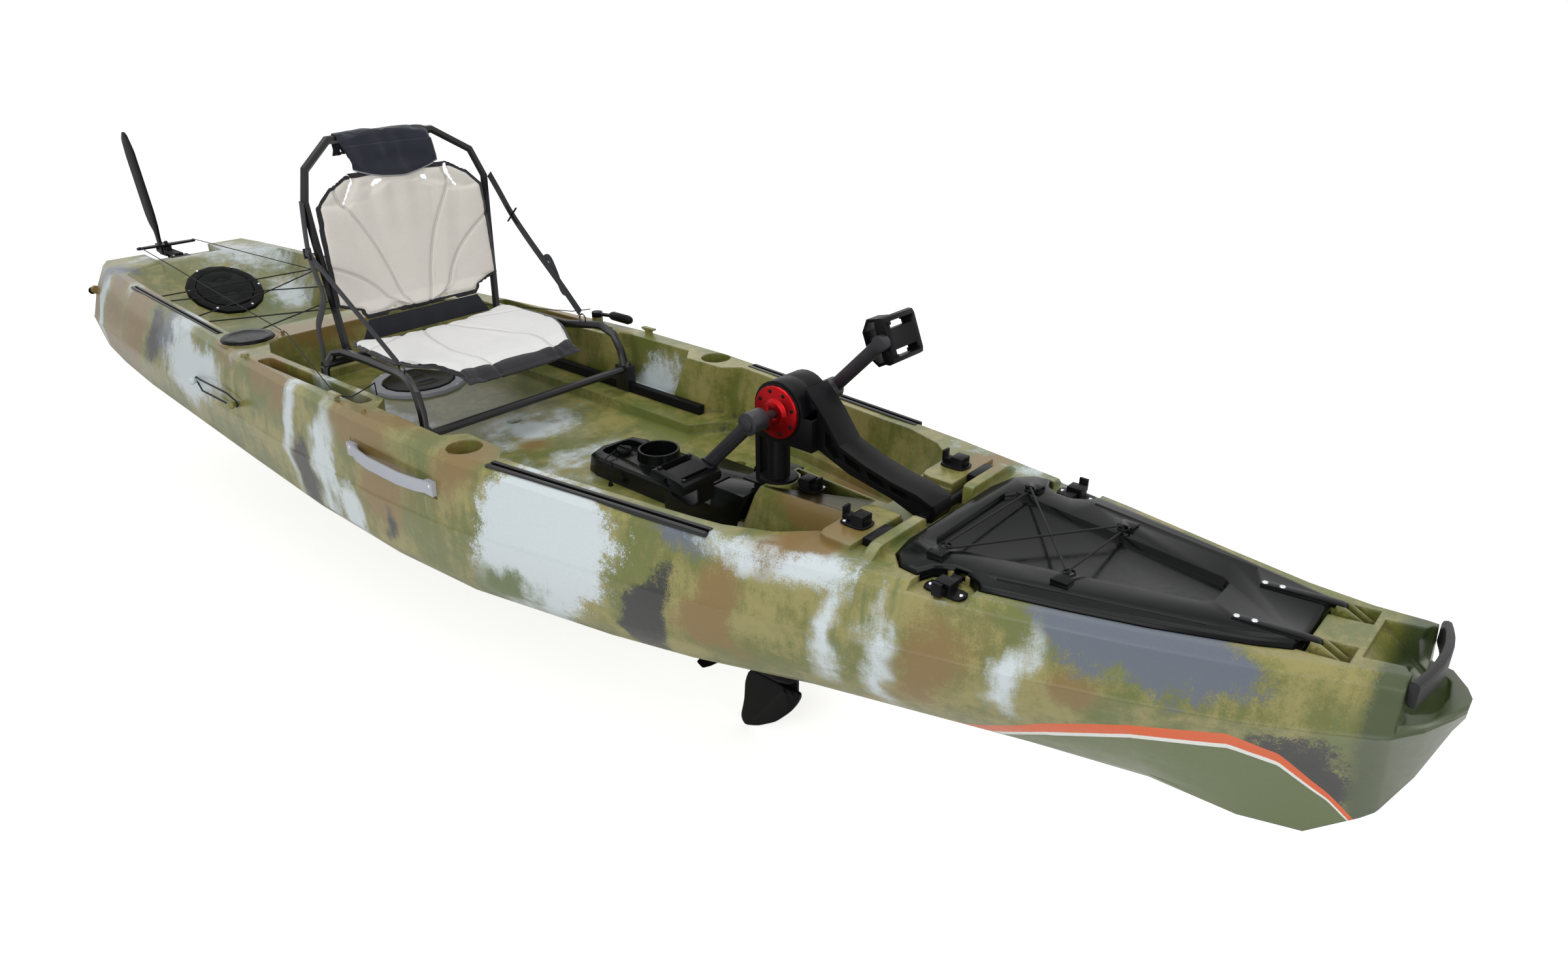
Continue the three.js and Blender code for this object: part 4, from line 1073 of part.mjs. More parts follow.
// Cushions: two skins that part between sewn seams and close to a thin hem
function padded({ seams, panel, rows, place, full, hem, dip }) {
  const columns = (seams.length - 1) * panel, points = [], u = [], v = [], t = [];
  for (let r = 0; r <= rows; r += 1) for (let k = 0; k <= columns; k += 1) {
    const p = Math.min(Math.floor(k / panel), seams.length - 2), share = (k - p * panel) / panel, down = r / rows;
    const across = mix(seams[p](down), seams[p + 1](down), share);
    const crown = Math.sin(Math.PI * down) ** 0.5, side = Math.sin(Math.PI * across) ** 0.4;
    const puff = mix(dip, 1, Math.sin(Math.PI * share) ** 0.7);
    const edge = r === 0 || r === rows || k === 0 || k === columns;
    u.push(across); v.push(down); t.push(edge ? hem : Math.max(hem, full * crown * side * puff));
  }
  const step = 1e-3, n = points.length || u.length;
  const front = [], rear = [];
  for (let i = 0; i < n; i += 1) {
    const at = place(u[i], v[i]);
    const du = place(Math.min(u[i] + step, 1), v[i]).sub(place(Math.max(u[i] - step, 0), v[i]));
    const dv = place(u[i], Math.min(v[i] + step, 1)).sub(place(u[i], Math.max(v[i] - step, 0)));
    const normal = du.cross(dv).normalize().multiplyScalar(t[i] / 2);
    front.push(at.clone().add(normal)); rear.push(at.clone().sub(normal));
  }
  const faces = [], w = columns + 1;
  for (let r = 0; r < rows; r += 1) for (let k = 0; k < columns; k += 1) {
    const a = r * w + k, b = a + 1, c = a + w, d = c + 1;
    faces.push(a, b, d, a, d, c, n + a, n + d, n + b, n + a, n + c, n + d);
  }
  const rim = [];
  for (let k = 0; k < columns; k += 1) rim.push(k);
  for (let r = 0; r < rows; r += 1) rim.push(r * w + columns);
  for (let k = columns; k > 0; k -= 1) rim.push(rows * w + k);
  for (let r = rows; r > 0; r -= 1) rim.push(r * w);
  for (let i = 0; i < rim.length; i += 1) {
    const a = rim[i], b = rim[(i + 1) % rim.length];
    faces.push(a, n + a, n + b, a, n + b, b);
  }
  const geometry = new THREE.BufferGeometry();
  geometry.setAttribute('position', new THREE.Float32BufferAttribute([...front, ...rear].flatMap((p) => [p.x, p.y, p.z]), 3));
  geometry.setIndex(faces);
  return geometry;
}
function along(table, t) {
  // Straight steps between rows of a share followed by its values
  let i = 0;
  while (i < table.length - 2 && table[i + 1][0] < t) i += 1;
  const low = table[i], high = table[i + 1], f = THREE.MathUtils.clamp((t - low[0]) / (high[0] - low[0]), 0, 1);
  return low.slice(1).map((value, k) => mix(value, high[k + 1], f));
}
{
  // Seat pad from its rear hem to its front hem: x, half width, height, sag
  const seatRows = [[0, -420, 240, 446, 14], [0.12, -386, 262, 442.3, 20], [0.5, -190, 264, 442.3, 24], [0.72, -122, 236, 444, 20],
    [0.8, -72, 206, 442, 18], [0.9, -26, 184, 424, 10], [1, 8, 176, 398, 4]];
  add('seat_pad', padded({
    seams: [() => 0, (v) => mix(0.3, 0.12, v * v), (v) => mix(0.42, 0.3, v), (v) => mix(0.58, 0.7, v), (v) => mix(0.7, 0.88, v * v), () => 1],
    panel: 2, rows: 10, full: 20, hem: 4, dip: 0.5,
    place: (u, v) => {
      const [x, half, z, sag] = along(seatRows, v);
      return new THREE.Vector3(x, mix(-half, half, u), z - sag * (1 - (2 * u - 1) ** 2));
    },
  }), CREAM);
  // Back pad from the black flap at the seat to the shoulders: x, half width, height, hollow
  const backRows = [[0, -434, 172, 480, 4], [0.08, -436.5, 180, 499, 9], [0.2, -441.2, 256, 530, 18], [0.26, -443.2, 257, 556, 20], [0.6, -453.2, 256, 700, 22],
    [0.82, -457.2, 252, 795, 20], [0.88, -459, 226, 820, 16], [0.94, -463, 180, 842, 10], [1, -468, 150, 861, 4]];
  add('back_pad', padded({
    seams: [() => 0, (v) => mix(0.3, 0.12, v), (v) => mix(0.42, 0.3, v), (v) => mix(0.58, 0.7, v), (v) => mix(0.7, 0.88, v), () => 1],
    panel: 2, rows: 10, full: 16, hem: 4, dip: 0.5,
    place: (u, v) => {
      const [x, half, z, hollow] = along(backRows, v);
      return new THREE.Vector3(x - hollow * (1 - (2 * u - 1) ** 2), mix(-half, half, u), z);
    },
  }), CREAM);
  // Head pad folded over the top of the tube: x, half width, height at the middle, fall at the ends
  const headRows = [[0, -487, 126, 866, 0], [0.2, -500, 134, 900, 1], [0.4, -520, 134, 938, 2], [0.5, -533, 132, 948, 2], [0.6, -548, 130, 949, 2],
    [0.7, -563, 130, 940, 2], [0.85, -570, 130, 915, 1], [1, -570, 128, 884, 0]];
  add('head_pad', padded({
    seams: [() => 0, () => 0.5, () => 1], panel: 3, rows: 8, full: 11, hem: 4, dip: 0.85,
    place: (u, v) => {
      const [x, half, z, fall] = along(headRows, v);
      const bow = (2 * u - 1) ** 2;
      return new THREE.Vector3(x + bow * 12, mix(-half, half, u), z - fall * bow);
    },
  }), WEB);
}

// Webbing straps from the upper back tube to the rings, the starboard one with its loose tail
{
  const S = SEAT, wide = S.strapWide;
  const strap = (points, width) => join(...points.slice(0, -1).map((p, i) => bar(p, points[i + 1], rect(S.strap, width, 0, -width / 2))),
    ...points.slice(1, -1).map((p) => block(width * 0.9, S.strap * 2, width * 0.9, ...p)));
  const y = S.barY + S.tube + S.strap * 0.6;
  const beside = (side, points) => points.map(([x, out, z]) => [x, side * (y + out), z]);
  const far = beside(1, S.strapFar), tail = beside(-1, S.strapTail), near = beside(-1, S.strapNear);
  add('seat_strap_port', join(strap(far, wide), block(...S.buckle, ...far[1])), WEB);
  add('seat_strap_starboard', join(strap(tail, wide), strap(near, wide * 0.8), block(...S.buckle, ...near[0])), WEB);
}

export default kayak;
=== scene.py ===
# %% [markdown]
# A pedal kayak in Blender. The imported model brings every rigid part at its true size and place, so this
# lesson adds what makes it look real: sprayed hull colours, sewn pads, webbing, screws and finishes.
# Everything is in metres, with +X to the bow, +Y to port and +Z up.

# %% Load the frame
import json
import math
import bmesh
import bpy
import numpy as np
from mathutils import Matrix, Vector


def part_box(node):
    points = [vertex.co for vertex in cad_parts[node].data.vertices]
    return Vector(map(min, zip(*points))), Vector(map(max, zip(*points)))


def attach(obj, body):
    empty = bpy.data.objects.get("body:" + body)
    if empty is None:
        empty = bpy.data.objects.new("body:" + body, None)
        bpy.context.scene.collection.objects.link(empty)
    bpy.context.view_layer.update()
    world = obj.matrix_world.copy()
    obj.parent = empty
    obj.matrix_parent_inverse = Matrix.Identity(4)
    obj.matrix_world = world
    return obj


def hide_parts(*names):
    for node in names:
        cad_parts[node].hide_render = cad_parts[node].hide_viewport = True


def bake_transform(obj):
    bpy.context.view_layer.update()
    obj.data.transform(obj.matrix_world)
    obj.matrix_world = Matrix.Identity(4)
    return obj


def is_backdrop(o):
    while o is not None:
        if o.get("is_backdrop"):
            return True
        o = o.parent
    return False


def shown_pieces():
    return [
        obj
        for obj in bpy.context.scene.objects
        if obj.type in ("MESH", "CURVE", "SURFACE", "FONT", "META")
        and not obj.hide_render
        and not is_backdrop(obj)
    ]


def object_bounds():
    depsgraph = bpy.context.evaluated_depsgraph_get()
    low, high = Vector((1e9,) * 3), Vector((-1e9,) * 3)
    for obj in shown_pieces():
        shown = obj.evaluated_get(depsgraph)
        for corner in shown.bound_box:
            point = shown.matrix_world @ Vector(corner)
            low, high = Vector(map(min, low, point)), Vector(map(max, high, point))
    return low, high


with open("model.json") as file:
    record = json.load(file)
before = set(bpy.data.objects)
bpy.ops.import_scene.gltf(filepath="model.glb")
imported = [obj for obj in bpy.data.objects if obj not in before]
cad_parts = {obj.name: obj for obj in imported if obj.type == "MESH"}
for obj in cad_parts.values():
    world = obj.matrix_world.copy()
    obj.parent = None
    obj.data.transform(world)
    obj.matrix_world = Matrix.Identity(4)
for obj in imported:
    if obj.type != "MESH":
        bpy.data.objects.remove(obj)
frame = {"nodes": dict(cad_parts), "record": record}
solid_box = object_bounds()

# %% [markdown]
# The camera stands off the starboard bow, a little above the seat. Its place was solved from the
# photograph by matching the hull's length, its ends and the round hatches.

# %% Camera
camera_data = bpy.data.cameras.new("camera")
camera_data.sensor_width = 36.0
camera_data.lens = 24.21
camera = bpy.data.objects.new("camera", camera_data)
camera.location = (2.1517, -1.5097, 1.2948)
camera.rotation_euler = (math.radians(90 - 25.66), 0, math.radians(40.50))
bpy.context.scene.collection.objects.link(camera)
bpy.context.scene.camera = camera
bpy.context.scene.view_settings.view_transform = "Standard"
print("camera", tuple(round(v, 3) for v in camera.location))

# %% [markdown]
# A material here is written like a sum. Flow wraps one socket, so the usual signs add Math nodes, and
# Finish starts a material and makes every other node from one method.

# %% Materials as expressions
class Flow:
    """One value on its way through a material."""

    def __init__(self, finish, socket):
        self.finish, self.socket = finish, socket

    def maths(self, operation, *terms):
        return self.finish.node("ShaderNodeMath", {"operation": operation}, *terms)

    def __add__(self, other):
        return self.maths("ADD", self, other)

    def __sub__(self, other):
        return self.maths("SUBTRACT", self, other)

    def __rsub__(self, other):
        return self.maths("SUBTRACT", other, self)

    def __mul__(self, other):
        return self.maths("MULTIPLY", self, other)

    def __truediv__(self, other):
        return self.maths("DIVIDE", self, other)

    def __gt__(self, other):
        return self.maths("GREATER_THAN", self, other)

    def __lt__(self, other):
        return self.maths("LESS_THAN", self, other)

    def __abs__(self):
        return self.maths("ABSOLUTE", self)

    __radd__ = __add__
    __rmul__ = __mul__

    def least(self, other):
        return self.maths("MINIMUM", self, other)

    def most(self, other):
        return self.maths("MAXIMUM", self, other)

    def ramp(self, low, high, start=0.0, end=1.0):
        """Runs smoothly from start to end while this value runs from low to high."""
        return self.finish.node("ShaderNodeMapRange", {"interpolation_type": "SMOOTHSTEP"}, self, low, high,
                                start, end)


def paint(red, green, blue):
    """A colour written as the eye sees it, from 0 to 255, turned into the renderer's linear scale."""
    return tuple(((c / 255 + 0.055) / 1.055) ** 2.4 if c > 10 else c / 255 / 12.92
                 for c in (red, green, blue)) + (1.0,)


class Finish:
    """A material with a Principled shader and the object's own coordinates."""

    def __init__(self, name, **sockets):
        self.material = bpy.data.materials.new(name)
        self.material.use_nodes = True
        self.tree = self.material.node_tree
        self.shader = self.tree.nodes["Principled BSDF"]
        for label, value in sockets.items():
            self.shader.inputs[label.replace("_", " ")].default_value = value
        self.place = self.node("ShaderNodeTexCoord", out="Object")

    def node(self, kind, settings=None, *values, out=0, **named):
        made = self.tree.nodes.new(kind)
        for key, value in (settings or {}).items():
            if key == "stops":
                ramp = made.color_ramp
                for k, (at, colour) in enumerate(value):
                    stop = ramp.elements[k] if k < 2 else ramp.elements.new(at)
                    stop.position, stop.color = at, colour
            else:
                setattr(made, key, value)
        for socket, value in zip(made.inputs, values):
            self.feed(socket, value)
        for label, value in named.items():
            self.feed(made.inputs[label.replace("_", " ")], value)
        return Flow(self, made.outputs[out])

    def feed(self, socket, value):
        if isinstance(value, Flow):
            self.tree.links.new(value.socket, socket)
        elif value is not None:
            socket.default_value = value

    def vector(self, operation, *terms, out=0, **named):
        return self.node("ShaderNodeVectorMath", {"operation": operation}, *terms, out=out, **named)

    def set(self, label, value):
        self.feed(self.shader.inputs[label], value)

    def noise(self, scale, detail=3.0, rough=0.5, vector=None, out=0):
        return self.node("ShaderNodeTexNoise", None, Vector=vector or self.place, Scale=scale, Detail=detail,
                         Roughness=rough, out=out)

    def mix(self, share, first, second):
        made = self.tree.nodes.new("ShaderNodeMix")
        made.data_type = "RGBA"
        for k, value in ((0, share), (6, first), (7, second)):
            self.feed(made.inputs[k], value)
        return Flow(self, made.outputs[2])

    def axis(self, letter, vector=None):
        return self.node("ShaderNodeSeparateXYZ", None, vector or self.place, out=letter)

    def shifted(self, scale=(1, 1, 1), by=(0, 0, 0), turn=(0, 0, 0)):
        return self.node("ShaderNodeMapping", None, self.place, by, turn, scale)

    def relief(self, height, distance, strength=1.0, edge=None):
        """Bump from a height in metres, over edges that are rounded by edge metres."""
        soft = self.node("ShaderNodeBevel", {"samples": 4}, edge) if edge else None
        self.set("Normal", self.node("ShaderNodeBump", None, Strength=strength, Distance=distance,
                                     Height=height, Normal=soft))


# %% [markdown]
# The hull is rotation-moulded plastic. Its colours are powders of green, brown, white, slate and black
# that meet in soft, sprayed edges. Each patch is an egg-shaped region in space, bent by noise, and a
# second, fine noise breaks its rim into speckles. A list of patches is easier to steer than a pattern.

# %% Hull finish
OLIVE, BROWN, CHALK = paint(104, 110, 48), paint(130, 106, 56), paint(208, 218, 222)
SLATE, COAL, MOSS = paint(96, 104, 118), paint(30, 31, 35), paint(92, 106, 56)
ORANGE, WHITE = paint(226, 88, 2), paint(236, 238, 234)

# Centre and half sizes along X, Y and Z, then the colour and how soft and streaky the rim is
patches = [
    # Starboard side from the stern to the bow
    (-2.06, -0.40, 0.30, 0.05, 0.26, 0.14, BROWN, 0.4), (-1.97, -0.42, 0.30, 0.03, 0.20, 0.20, CHALK, 0.6),
    (-1.82, -0.42, 0.30, 0.12, 0.20, 0.25, BROWN, 0.3), (-1.72, -0.42, 0.41, 0.05, 0.20, 0.06, CHALK, 0.9),
    (-1.60, -0.42, 0.30, 0.12, 0.20, 0.22, BROWN, 0.35), (-1.40, -0.42, 0.33, 0.07, 0.12, 0.12, COAL, 0.4),
    (-1.28, -0.42, 0.33, 0.09, 0.12, 0.10, SLATE, 0.8), (-1.21, -0.42, 0.37, 0.09, 0.12, 0.07, CHALK, 0.9),
    (-1.08, -0.42, 0.26, 0.19, 0.16, 0.11, CHALK, 0.45), (-0.86, -0.44, 0.40, 0.13, 0.10, 0.05, BROWN, 0.5),
    (-0.62, -0.44, 0.40, 0.17, 0.10, 0.06, BROWN, 0.6), (-0.46, -0.44, 0.36, 0.08, 0.12, 0.12, BROWN, 0.7),
    (-0.37, -0.44, 0.31, 0.035, 0.14, 0.24, CHALK, 0.9), (-0.30, -0.44, 0.13, 0.06, 0.16, 0.10, COAL, 0.6),
    (-0.21, -0.46, 0.22, 0.035, 0.16, 0.18, CHALK, 0.9), (-0.13, -0.46, 0.11, 0.06, 0.14, 0.09, CHALK, 0.5),
    (-0.04, -0.44, 0.38, 0.15, 0.14, 0.07, BROWN, 0.7), (0.05, -0.46, 0.24, 0.12, 0.14, 0.13, BROWN, 0.7),
    (0.09, -0.46, 0.15, 0.025, 0.12, 0.05, COAL, 0.9), (0.30, -0.46, 0.36, 0.06, 0.12, 0.10, BROWN, 0.8),
    (0.60, -0.44, 0.26, 0.195, 0.15, 0.22, CHALK, 0.2), (0.50, -0.44, 0.13, 0.09, 0.14, 0.04, MOSS, 0.9),
    (0.90, -0.42, 0.41, 0.11, 0.10, 0.07, SLATE, 0.35), (0.88, -0.42, 0.17, 0.055, 0.16, 0.14, COAL, 0.25),
    (1.01, -0.40, 0.26, 0.06, 0.12, 0.18, BROWN, 0.6), (1.15, -0.38, 0.42, 0.24, 0.10, 0.06, CHALK, 0.55),
    (1.24, -0.36, 0.26, 0.03, 0.12, 0.15, CHALK, 1.0), (1.33, -0.34, 0.20, 0.025, 0.14, 0.15, CHALK, 1.0),
    (1.40, -0.32, 0.24, 0.05, 0.14, 0.14, BROWN, 0.7), (1.50, -0.28, 0.28, 0.03, 0.14, 0.11, CHALK, 1.0),
    (1.60, -0.26, 0.31, 0.05, 0.12, 0.06, BROWN, 0.7), (1.38, -0.34, 0.42, 0.12, 0.07, 0.04, CHALK, 0.8),
    (1.56, -0.28, 0.42, 0.14, 0.09, 0.06, SLATE, 0.35), (1.78, -0.24, 0.40, 0.26, 0.10, 0.07, SLATE, 0.2),
    (1.95, -0.18, 0.20, 0.09, 0.20, 0.12, COAL, 0.15),
    # Port side, which the photograph hides
    (-1.80, 0.42, 0.28, 0.20, 0.14, 0.24, BROWN, 0.4), (-1.30, 0.42, 0.26, 0.17, 0.12, 0.18, CHALK, 0.5),
    (-1.05, 0.42, 0.18, 0.09, 0.14, 0.15, COAL, 0.4), (-0.30, 0.45, 0.26, 0.16, 0.12, 0.20, BROWN, 0.5),
    (0.10, 0.46, 0.20, 0.16, 0.12, 0.18, CHALK, 0.3), (0.40, 0.45, 0.16, 0.09, 0.14, 0.15, COAL, 0.35),
    (0.80, 0.42, 0.24, 0.12, 0.12, 0.18, BROWN, 0.6), (1.15, 0.38, 0.30, 0.12, 0.10, 0.15, CHALK, 0.6),
    (1.60, 0.28, 0.36, 0.24, 0.08, 0.08, SLATE, 0.35), (1.42, 0.32, 0.16, 0.06, 0.12, 0.14, BROWN, 0.6),
    (1.95, 0.18, 0.20, 0.09, 0.18, 0.12, COAL, 0.2),
    # Deck, tank well and cockpit
    (-1.92, 0.16, 0.40, 0.12, 0.16, 0.07, CHALK, 0.9), (-2.04, -0.12, 0.40, 0.06, 0.20, 0.05, CHALK, 0.7),
    (-1.94, -0.28, 0.40, 0.12, 0.06, 0.05, SLATE, 0.8), (-1.70, 0.24, 0.26, 0.10, 0.06, 0.10, CHALK, 0.9),
    (-1.05, -0.20, 0.24, 0.10, 0.12, 0.05, BROWN, 0.8), (-0.84, -0.14, 0.36, 0.06, 0.22, 0.12, BROWN, 0.5),
    (-0.78, -0.42, 0.41, 0.08, 0.06, 0.04, CHALK, 0.9), (-0.62, -0.40, 0.40, 0.08, 0.06, 0.06, BROWN, 0.6),
    (0.00, 0.02, 0.24, 0.10, 0.16, 0.03, CHALK, 0.7), (0.14, -0.22, 0.25, 0.12, 0.07, 0.03, CHALK, 0.7),
    (0.28, -0.05, 0.24, 0.07, 0.14, 0.03, CHALK, 0.9), (0.10, -0.06, 0.24, 0.05, 0.05, 0.03, BROWN, 0.8),
    (-0.34, -0.22, 0.24, 0.16, 0.08, 0.03, CHALK, 0.7), (0.42, 0.12, 0.24, 0.12, 0.05, 0.03, SLATE, 0.9),
    (0.98, -0.10, 0.36, 0.09, 0.08, 0.06, BROWN, 0.6), (1.10, -0.22, 0.40, 0.07, 0.11, 0.08, BROWN, 0.6),
    (1.12, -0.30, 0.42, 0.05, 0.05, 0.05, BROWN, 0.6), (1.20, 0.22, 0.42, 0.06, 0.08, 0.06, BROWN, 0.8),
    (0.86, 0.24, 0.28, 0.10, 0.06, 0.10, BROWN, 0.9), (0.64, -0.30, 0.34, 0.09, 0.05, 0.08, CHALK, 0.8),
    (0.30, -0.40, 0.36, 0.07, 0.06, 0.07, BROWN, 0.8), (-0.02, -0.42, 0.40, 0.12, 0.05, 0.03, BROWN, 0.9),
    (1.34, 0.26, 0.44, 0.08, 0.05, 0.05, CHALK, 0.9),
]
hull_finish = Finish("sprayed_hull_plastic", IOR=1.5, Coat_Roughness=0.12)
hull_finish.set("Coat Weight", 0.2)
bend_noise = hull_finish.noise(3.6, 3.0, 0.55, out="Color")
bent = hull_finish.vector("SUBTRACT", bend_noise, (0.5, 0.5, 0.5))
bent = hull_finish.vector("SCALE", bent, Scale=0.26)
bent = hull_finish.vector("ADD", bent, hull_finish.place)
height = hull_finish.axis("Z")
lean = hull_finish.node("ShaderNodeCombineXYZ", None, (height - 0.3) * -0.22, 0.0, 0.0)
bent = hull_finish.vector("ADD", bent, lean)
spray = hull_finish.noise(330.0, 2.0, 0.7) * 0.5 + hull_finish.noise(46.0, 3.0, 0.7) * 0.5 - 0.5
strokes = hull_finish.noise(1.0, 4.0, 0.65,
                            vector=hull_finish.shifted(scale=(34, 20, 6), turn=(0, 0.45, 0))) - 0.5
cloud = hull_finish.noise(7.0, 5.0, 0.62)
colour = hull_finish.mix((cloud + spray * 0.6 + strokes * 0.5).ramp(0.38, 0.66), OLIVE, paint(150, 142, 84))
colour = hull_finish.mix((hull_finish.noise(5.0, 3.0) + strokes * 0.6).ramp(0.56, 0.7) * 0.8, colour,
                         paint(92, 108, 52))
for x, y, z, rx, ry, rz, shade, soft in patches:
    away = hull_finish.vector("SUBTRACT", bent, (x, y, z))
    away = hull_finish.vector("MULTIPLY", away, (1 / rx, 1 / ry, 1 / rz))
    reach = hull_finish.vector("LENGTH", away, out="Value")
    rim = reach + spray * (0.9 + soft) + strokes * (soft * 1.6)
    colour = hull_finish.mix(rim.ramp(1 + soft * 0.5, 1 - soft * 0.7), colour, shade)

# The bow block and everything below the stripe are plain green, and the stripe is orange over white
along = hull_finish.axis("X")
stripe_shape = [(0.0, 0.03), (0.10, 0.05), (0.35, 0.035), (0.50, 0.115), (0.60, 0.19), (0.72, 0.25),
                (0.84, 0.288), (0.90, 0.265), (0.96, 0.19), (1.0, 0.12)]
stripe_line = hull_finish.node("ShaderNodeValToRGB",
                               {"stops": [(at, (z, z, z, 1)) for at, z in stripe_shape]},
                               (along - 0.88) / (2.02 - 0.88))
over = height - stripe_line + spray * 0.003
forward = (along + spray * 0.02).ramp(0.86, 0.9)
colour = hull_finish.mix((along + spray * 0.05).ramp(1.985, 2.01), colour, paint(66, 78, 44))
colour = hull_finish.mix((over < 0.0) * forward, colour, MOSS)
band_width = along.ramp(0.95, 1.6, 0.008, 0.03) * along.ramp(2.02, 1.82, 0.45, 1.0)
colour = hull_finish.mix((over < 0.0) * (over > band_width * -1.0) * forward, colour, ORANGE)
colour = hull_finish.mix((over < band_width * -1.0) * (over > band_width * -1.4) * forward, colour, WHITE)
grain = hull_finish.noise(900.0, 2.0, 0.6)
colour = hull_finish.mix((grain - 0.5) * 0.55 + 0.1, colour, paint(60, 62, 36))
hull_finish.set("Base Color", colour)
hull_finish.set("Roughness", hull_finish.noise(60.0, 3.0) * 0.16 + 0.24)
hull_finish.relief(hull_finish.noise(260.0, 3.0, 0.6), 0.0006, 0.3, edge=0.006)
print("hull patches", len(patches))


# %% [markdown]
# The other finishes are few: glossy and satin black mouldings, grey plastic, dark and red anodised
# metal, bare steel, rubber cord, a padded grip, webbing and dark cloth. Each has a grain of its own.

# %% Hard finishes
def moulded(name, colour, rough, grain_depth, coat=0.0, edge=0.0012):
    """Moulded plastic: a fine grain, soft edges and a little dust in the colour."""
    finish = Finish(name, IOR=1.45, Coat_Weight=coat, Coat_Roughness=0.06, Specular_IOR_Level=0.12)
    dust = finish.noise(14.0, 4.0, 0.65)
    finish.set("Base Color",
               finish.mix(dust * 0.14, colour, tuple(c * 1.6 + 0.002 for c in colour[:3]) + (1.0,)))
    finish.set("Roughness", finish.noise(90.0, 3.0) * 0.2 + (rough - 0.1))
    finish.relief(finish.noise(1400.0, 2.0, 0.6), 0.0002, grain_depth, edge=edge)
    return finish.material


def anodised(name, colour, rough, metal=0.85):
    """Anodised or powder-coated metal with faint drawn lines along it."""
    finish = Finish(name, IOR=1.5, Specular_IOR_Level=0.4, Metallic=metal)
    lines = finish.noise(1.0, 2.0, 0.5, vector=finish.shifted(scale=(40.0, 900.0, 900.0)))
    finish.set("Base Color",
               finish.mix(lines * 0.4, colour, tuple(min(1.0, c * 1.6 + 0.01) for c in colour[:3]) + (1.0,)))
    finish.set("Roughness", lines * 0.14 + rough)
    finish.relief(lines, 0.0001, 0.3, edge=0.0008)
    return finish.material


gloss_black = moulded("gloss_black_moulding", paint(10, 11, 12), 0.18, 0.06, coat=0.05, edge=0.0022)
satin_black = moulded("satin_black_moulding", paint(15, 15, 17), 0.36, 0.35)
hatch_black = moulded("hatch_black_moulding", paint(12, 13, 14), 0.3, 0.25)
grey_plastic = moulded("pale_grey_moulding", paint(166, 168, 176), 0.4, 0.25)
blade_black = moulded("rudder_blade_black", paint(18, 18, 21), 0.4, 0.5)
dark_metal = anodised("dark_anodised_metal", paint(18, 18, 20), 0.26, 0.1)
crank_metal = anodised("grey_black_crank_metal", paint(44, 44, 48), 0.34, 0.35)
red_metal = anodised("red_anodised_metal", paint(172, 16, 24), 0.24, 0.85)
steel = anodised("bare_steel", paint(196, 198, 202), 0.22, 1.0)

# %% [markdown]
# Cords and lines are braided: two sets of strands cross at a slant. The strands here are a bump from
# waves in the object's own coordinates, small enough to show only close to.

# %% Soft finishes
def braided(name, colour, pitch=0.0022):
    finish = Finish(name, Roughness=0.62, Specular_IOR_Level=0.18)
    strand = finish.node("ShaderNodeTexWave", {"bands_direction": "DIAGONAL"}, finish.place,
                         1.0 / pitch / 3.0, 2.0, 1.0)
    finish.set("Base Color",
               finish.mix(strand * 0.6, colour, tuple(c * 2.4 + 0.006 for c in colour[:3]) + (1.0,)))
    finish.relief(strand, 0.0004, 0.6)
    return finish.material


def woven(name, colour, shade, thread, depth, fuzz=0.3):
    """Plain weave from two crossed sets of waves, with slow changes of tone from a broad random noise."""
    finish = Finish(name, Roughness=0.86, Sheen_Weight=fuzz, Sheen_Roughness=0.5, Specular_IOR_Level=0.2)
    across = finish.node("ShaderNodeTexWave", {"bands_direction": "Y"}, finish.place, 1.0 / thread / 6.28,
                         0.6, 1.0)
    up = finish.node("ShaderNodeTexWave", {"bands_direction": "Z"}, finish.shifted(turn=(0, 0.9, 0)),
                     1.0 / thread / 6.28, 0.6, 1.0)
    weave = across * up
    tone = finish.noise(5.0, 4.0, 0.55)
    fleck = finish.noise(420.0, 2.0, 0.6)
    finish.set("Base Color", finish.mix(tone * 0.5 + fleck * 0.35 + weave * 0.2, colour, shade))
    finish.relief(weave + fleck * 0.6, 0.0006, depth)
    return finish.material


cord_black = braided("braided_black_cord", paint(26, 26, 28))
line_black = braided("thin_steering_line", paint(20, 20, 22), 0.0012)
navy_cloth = woven("navy_black_cloth", paint(28, 30, 40), paint(14, 15, 21), 0.0012, 0.5)
webbing_cloth = woven("grey_black_webbing", paint(52, 53, 58), paint(28, 28, 32), 0.0016, 0.9, fuzz=0.2)
rubber = moulded("black_rubber", paint(18, 18, 19), 0.58, 0.5)

grip_finish = Finish("padded_black_grip", IOR=1.45)
pebble = grip_finish.node("ShaderNodeTexVoronoi", {"feature": "DISTANCE_TO_EDGE"}, Vector=grip_finish.place,
                          Scale=420.0)
grip_finish.set("Base Color", grip_finish.mix(pebble, paint(16, 16, 17), paint(40, 40, 42)))
grip_finish.set("Roughness", pebble * -0.3 + 0.46)
grip_finish.relief(pebble, 0.0008, 0.6, edge=0.003)
padded_grip = grip_finish.material

# %% [markdown]
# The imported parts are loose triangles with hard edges. Each rigid one is copied, its corners are welded,
# flat faces are merged again, sharp edges get a small bevel and the rest is shaded smooth. The copy then
# stands for the part, and its outline stays the part's own but for the small bevels.

# %% Copy and dress a part
def alone(piece):
    """Selects one object and nothing else, as operators act on all that is selected."""
    if bpy.context.object and bpy.context.object.mode != "OBJECT":
        bpy.ops.object.mode_set(mode="OBJECT")
    bpy.ops.object.select_all(action="DESELECT")
    piece.select_set(True)
    bpy.context.view_layer.objects.active = piece


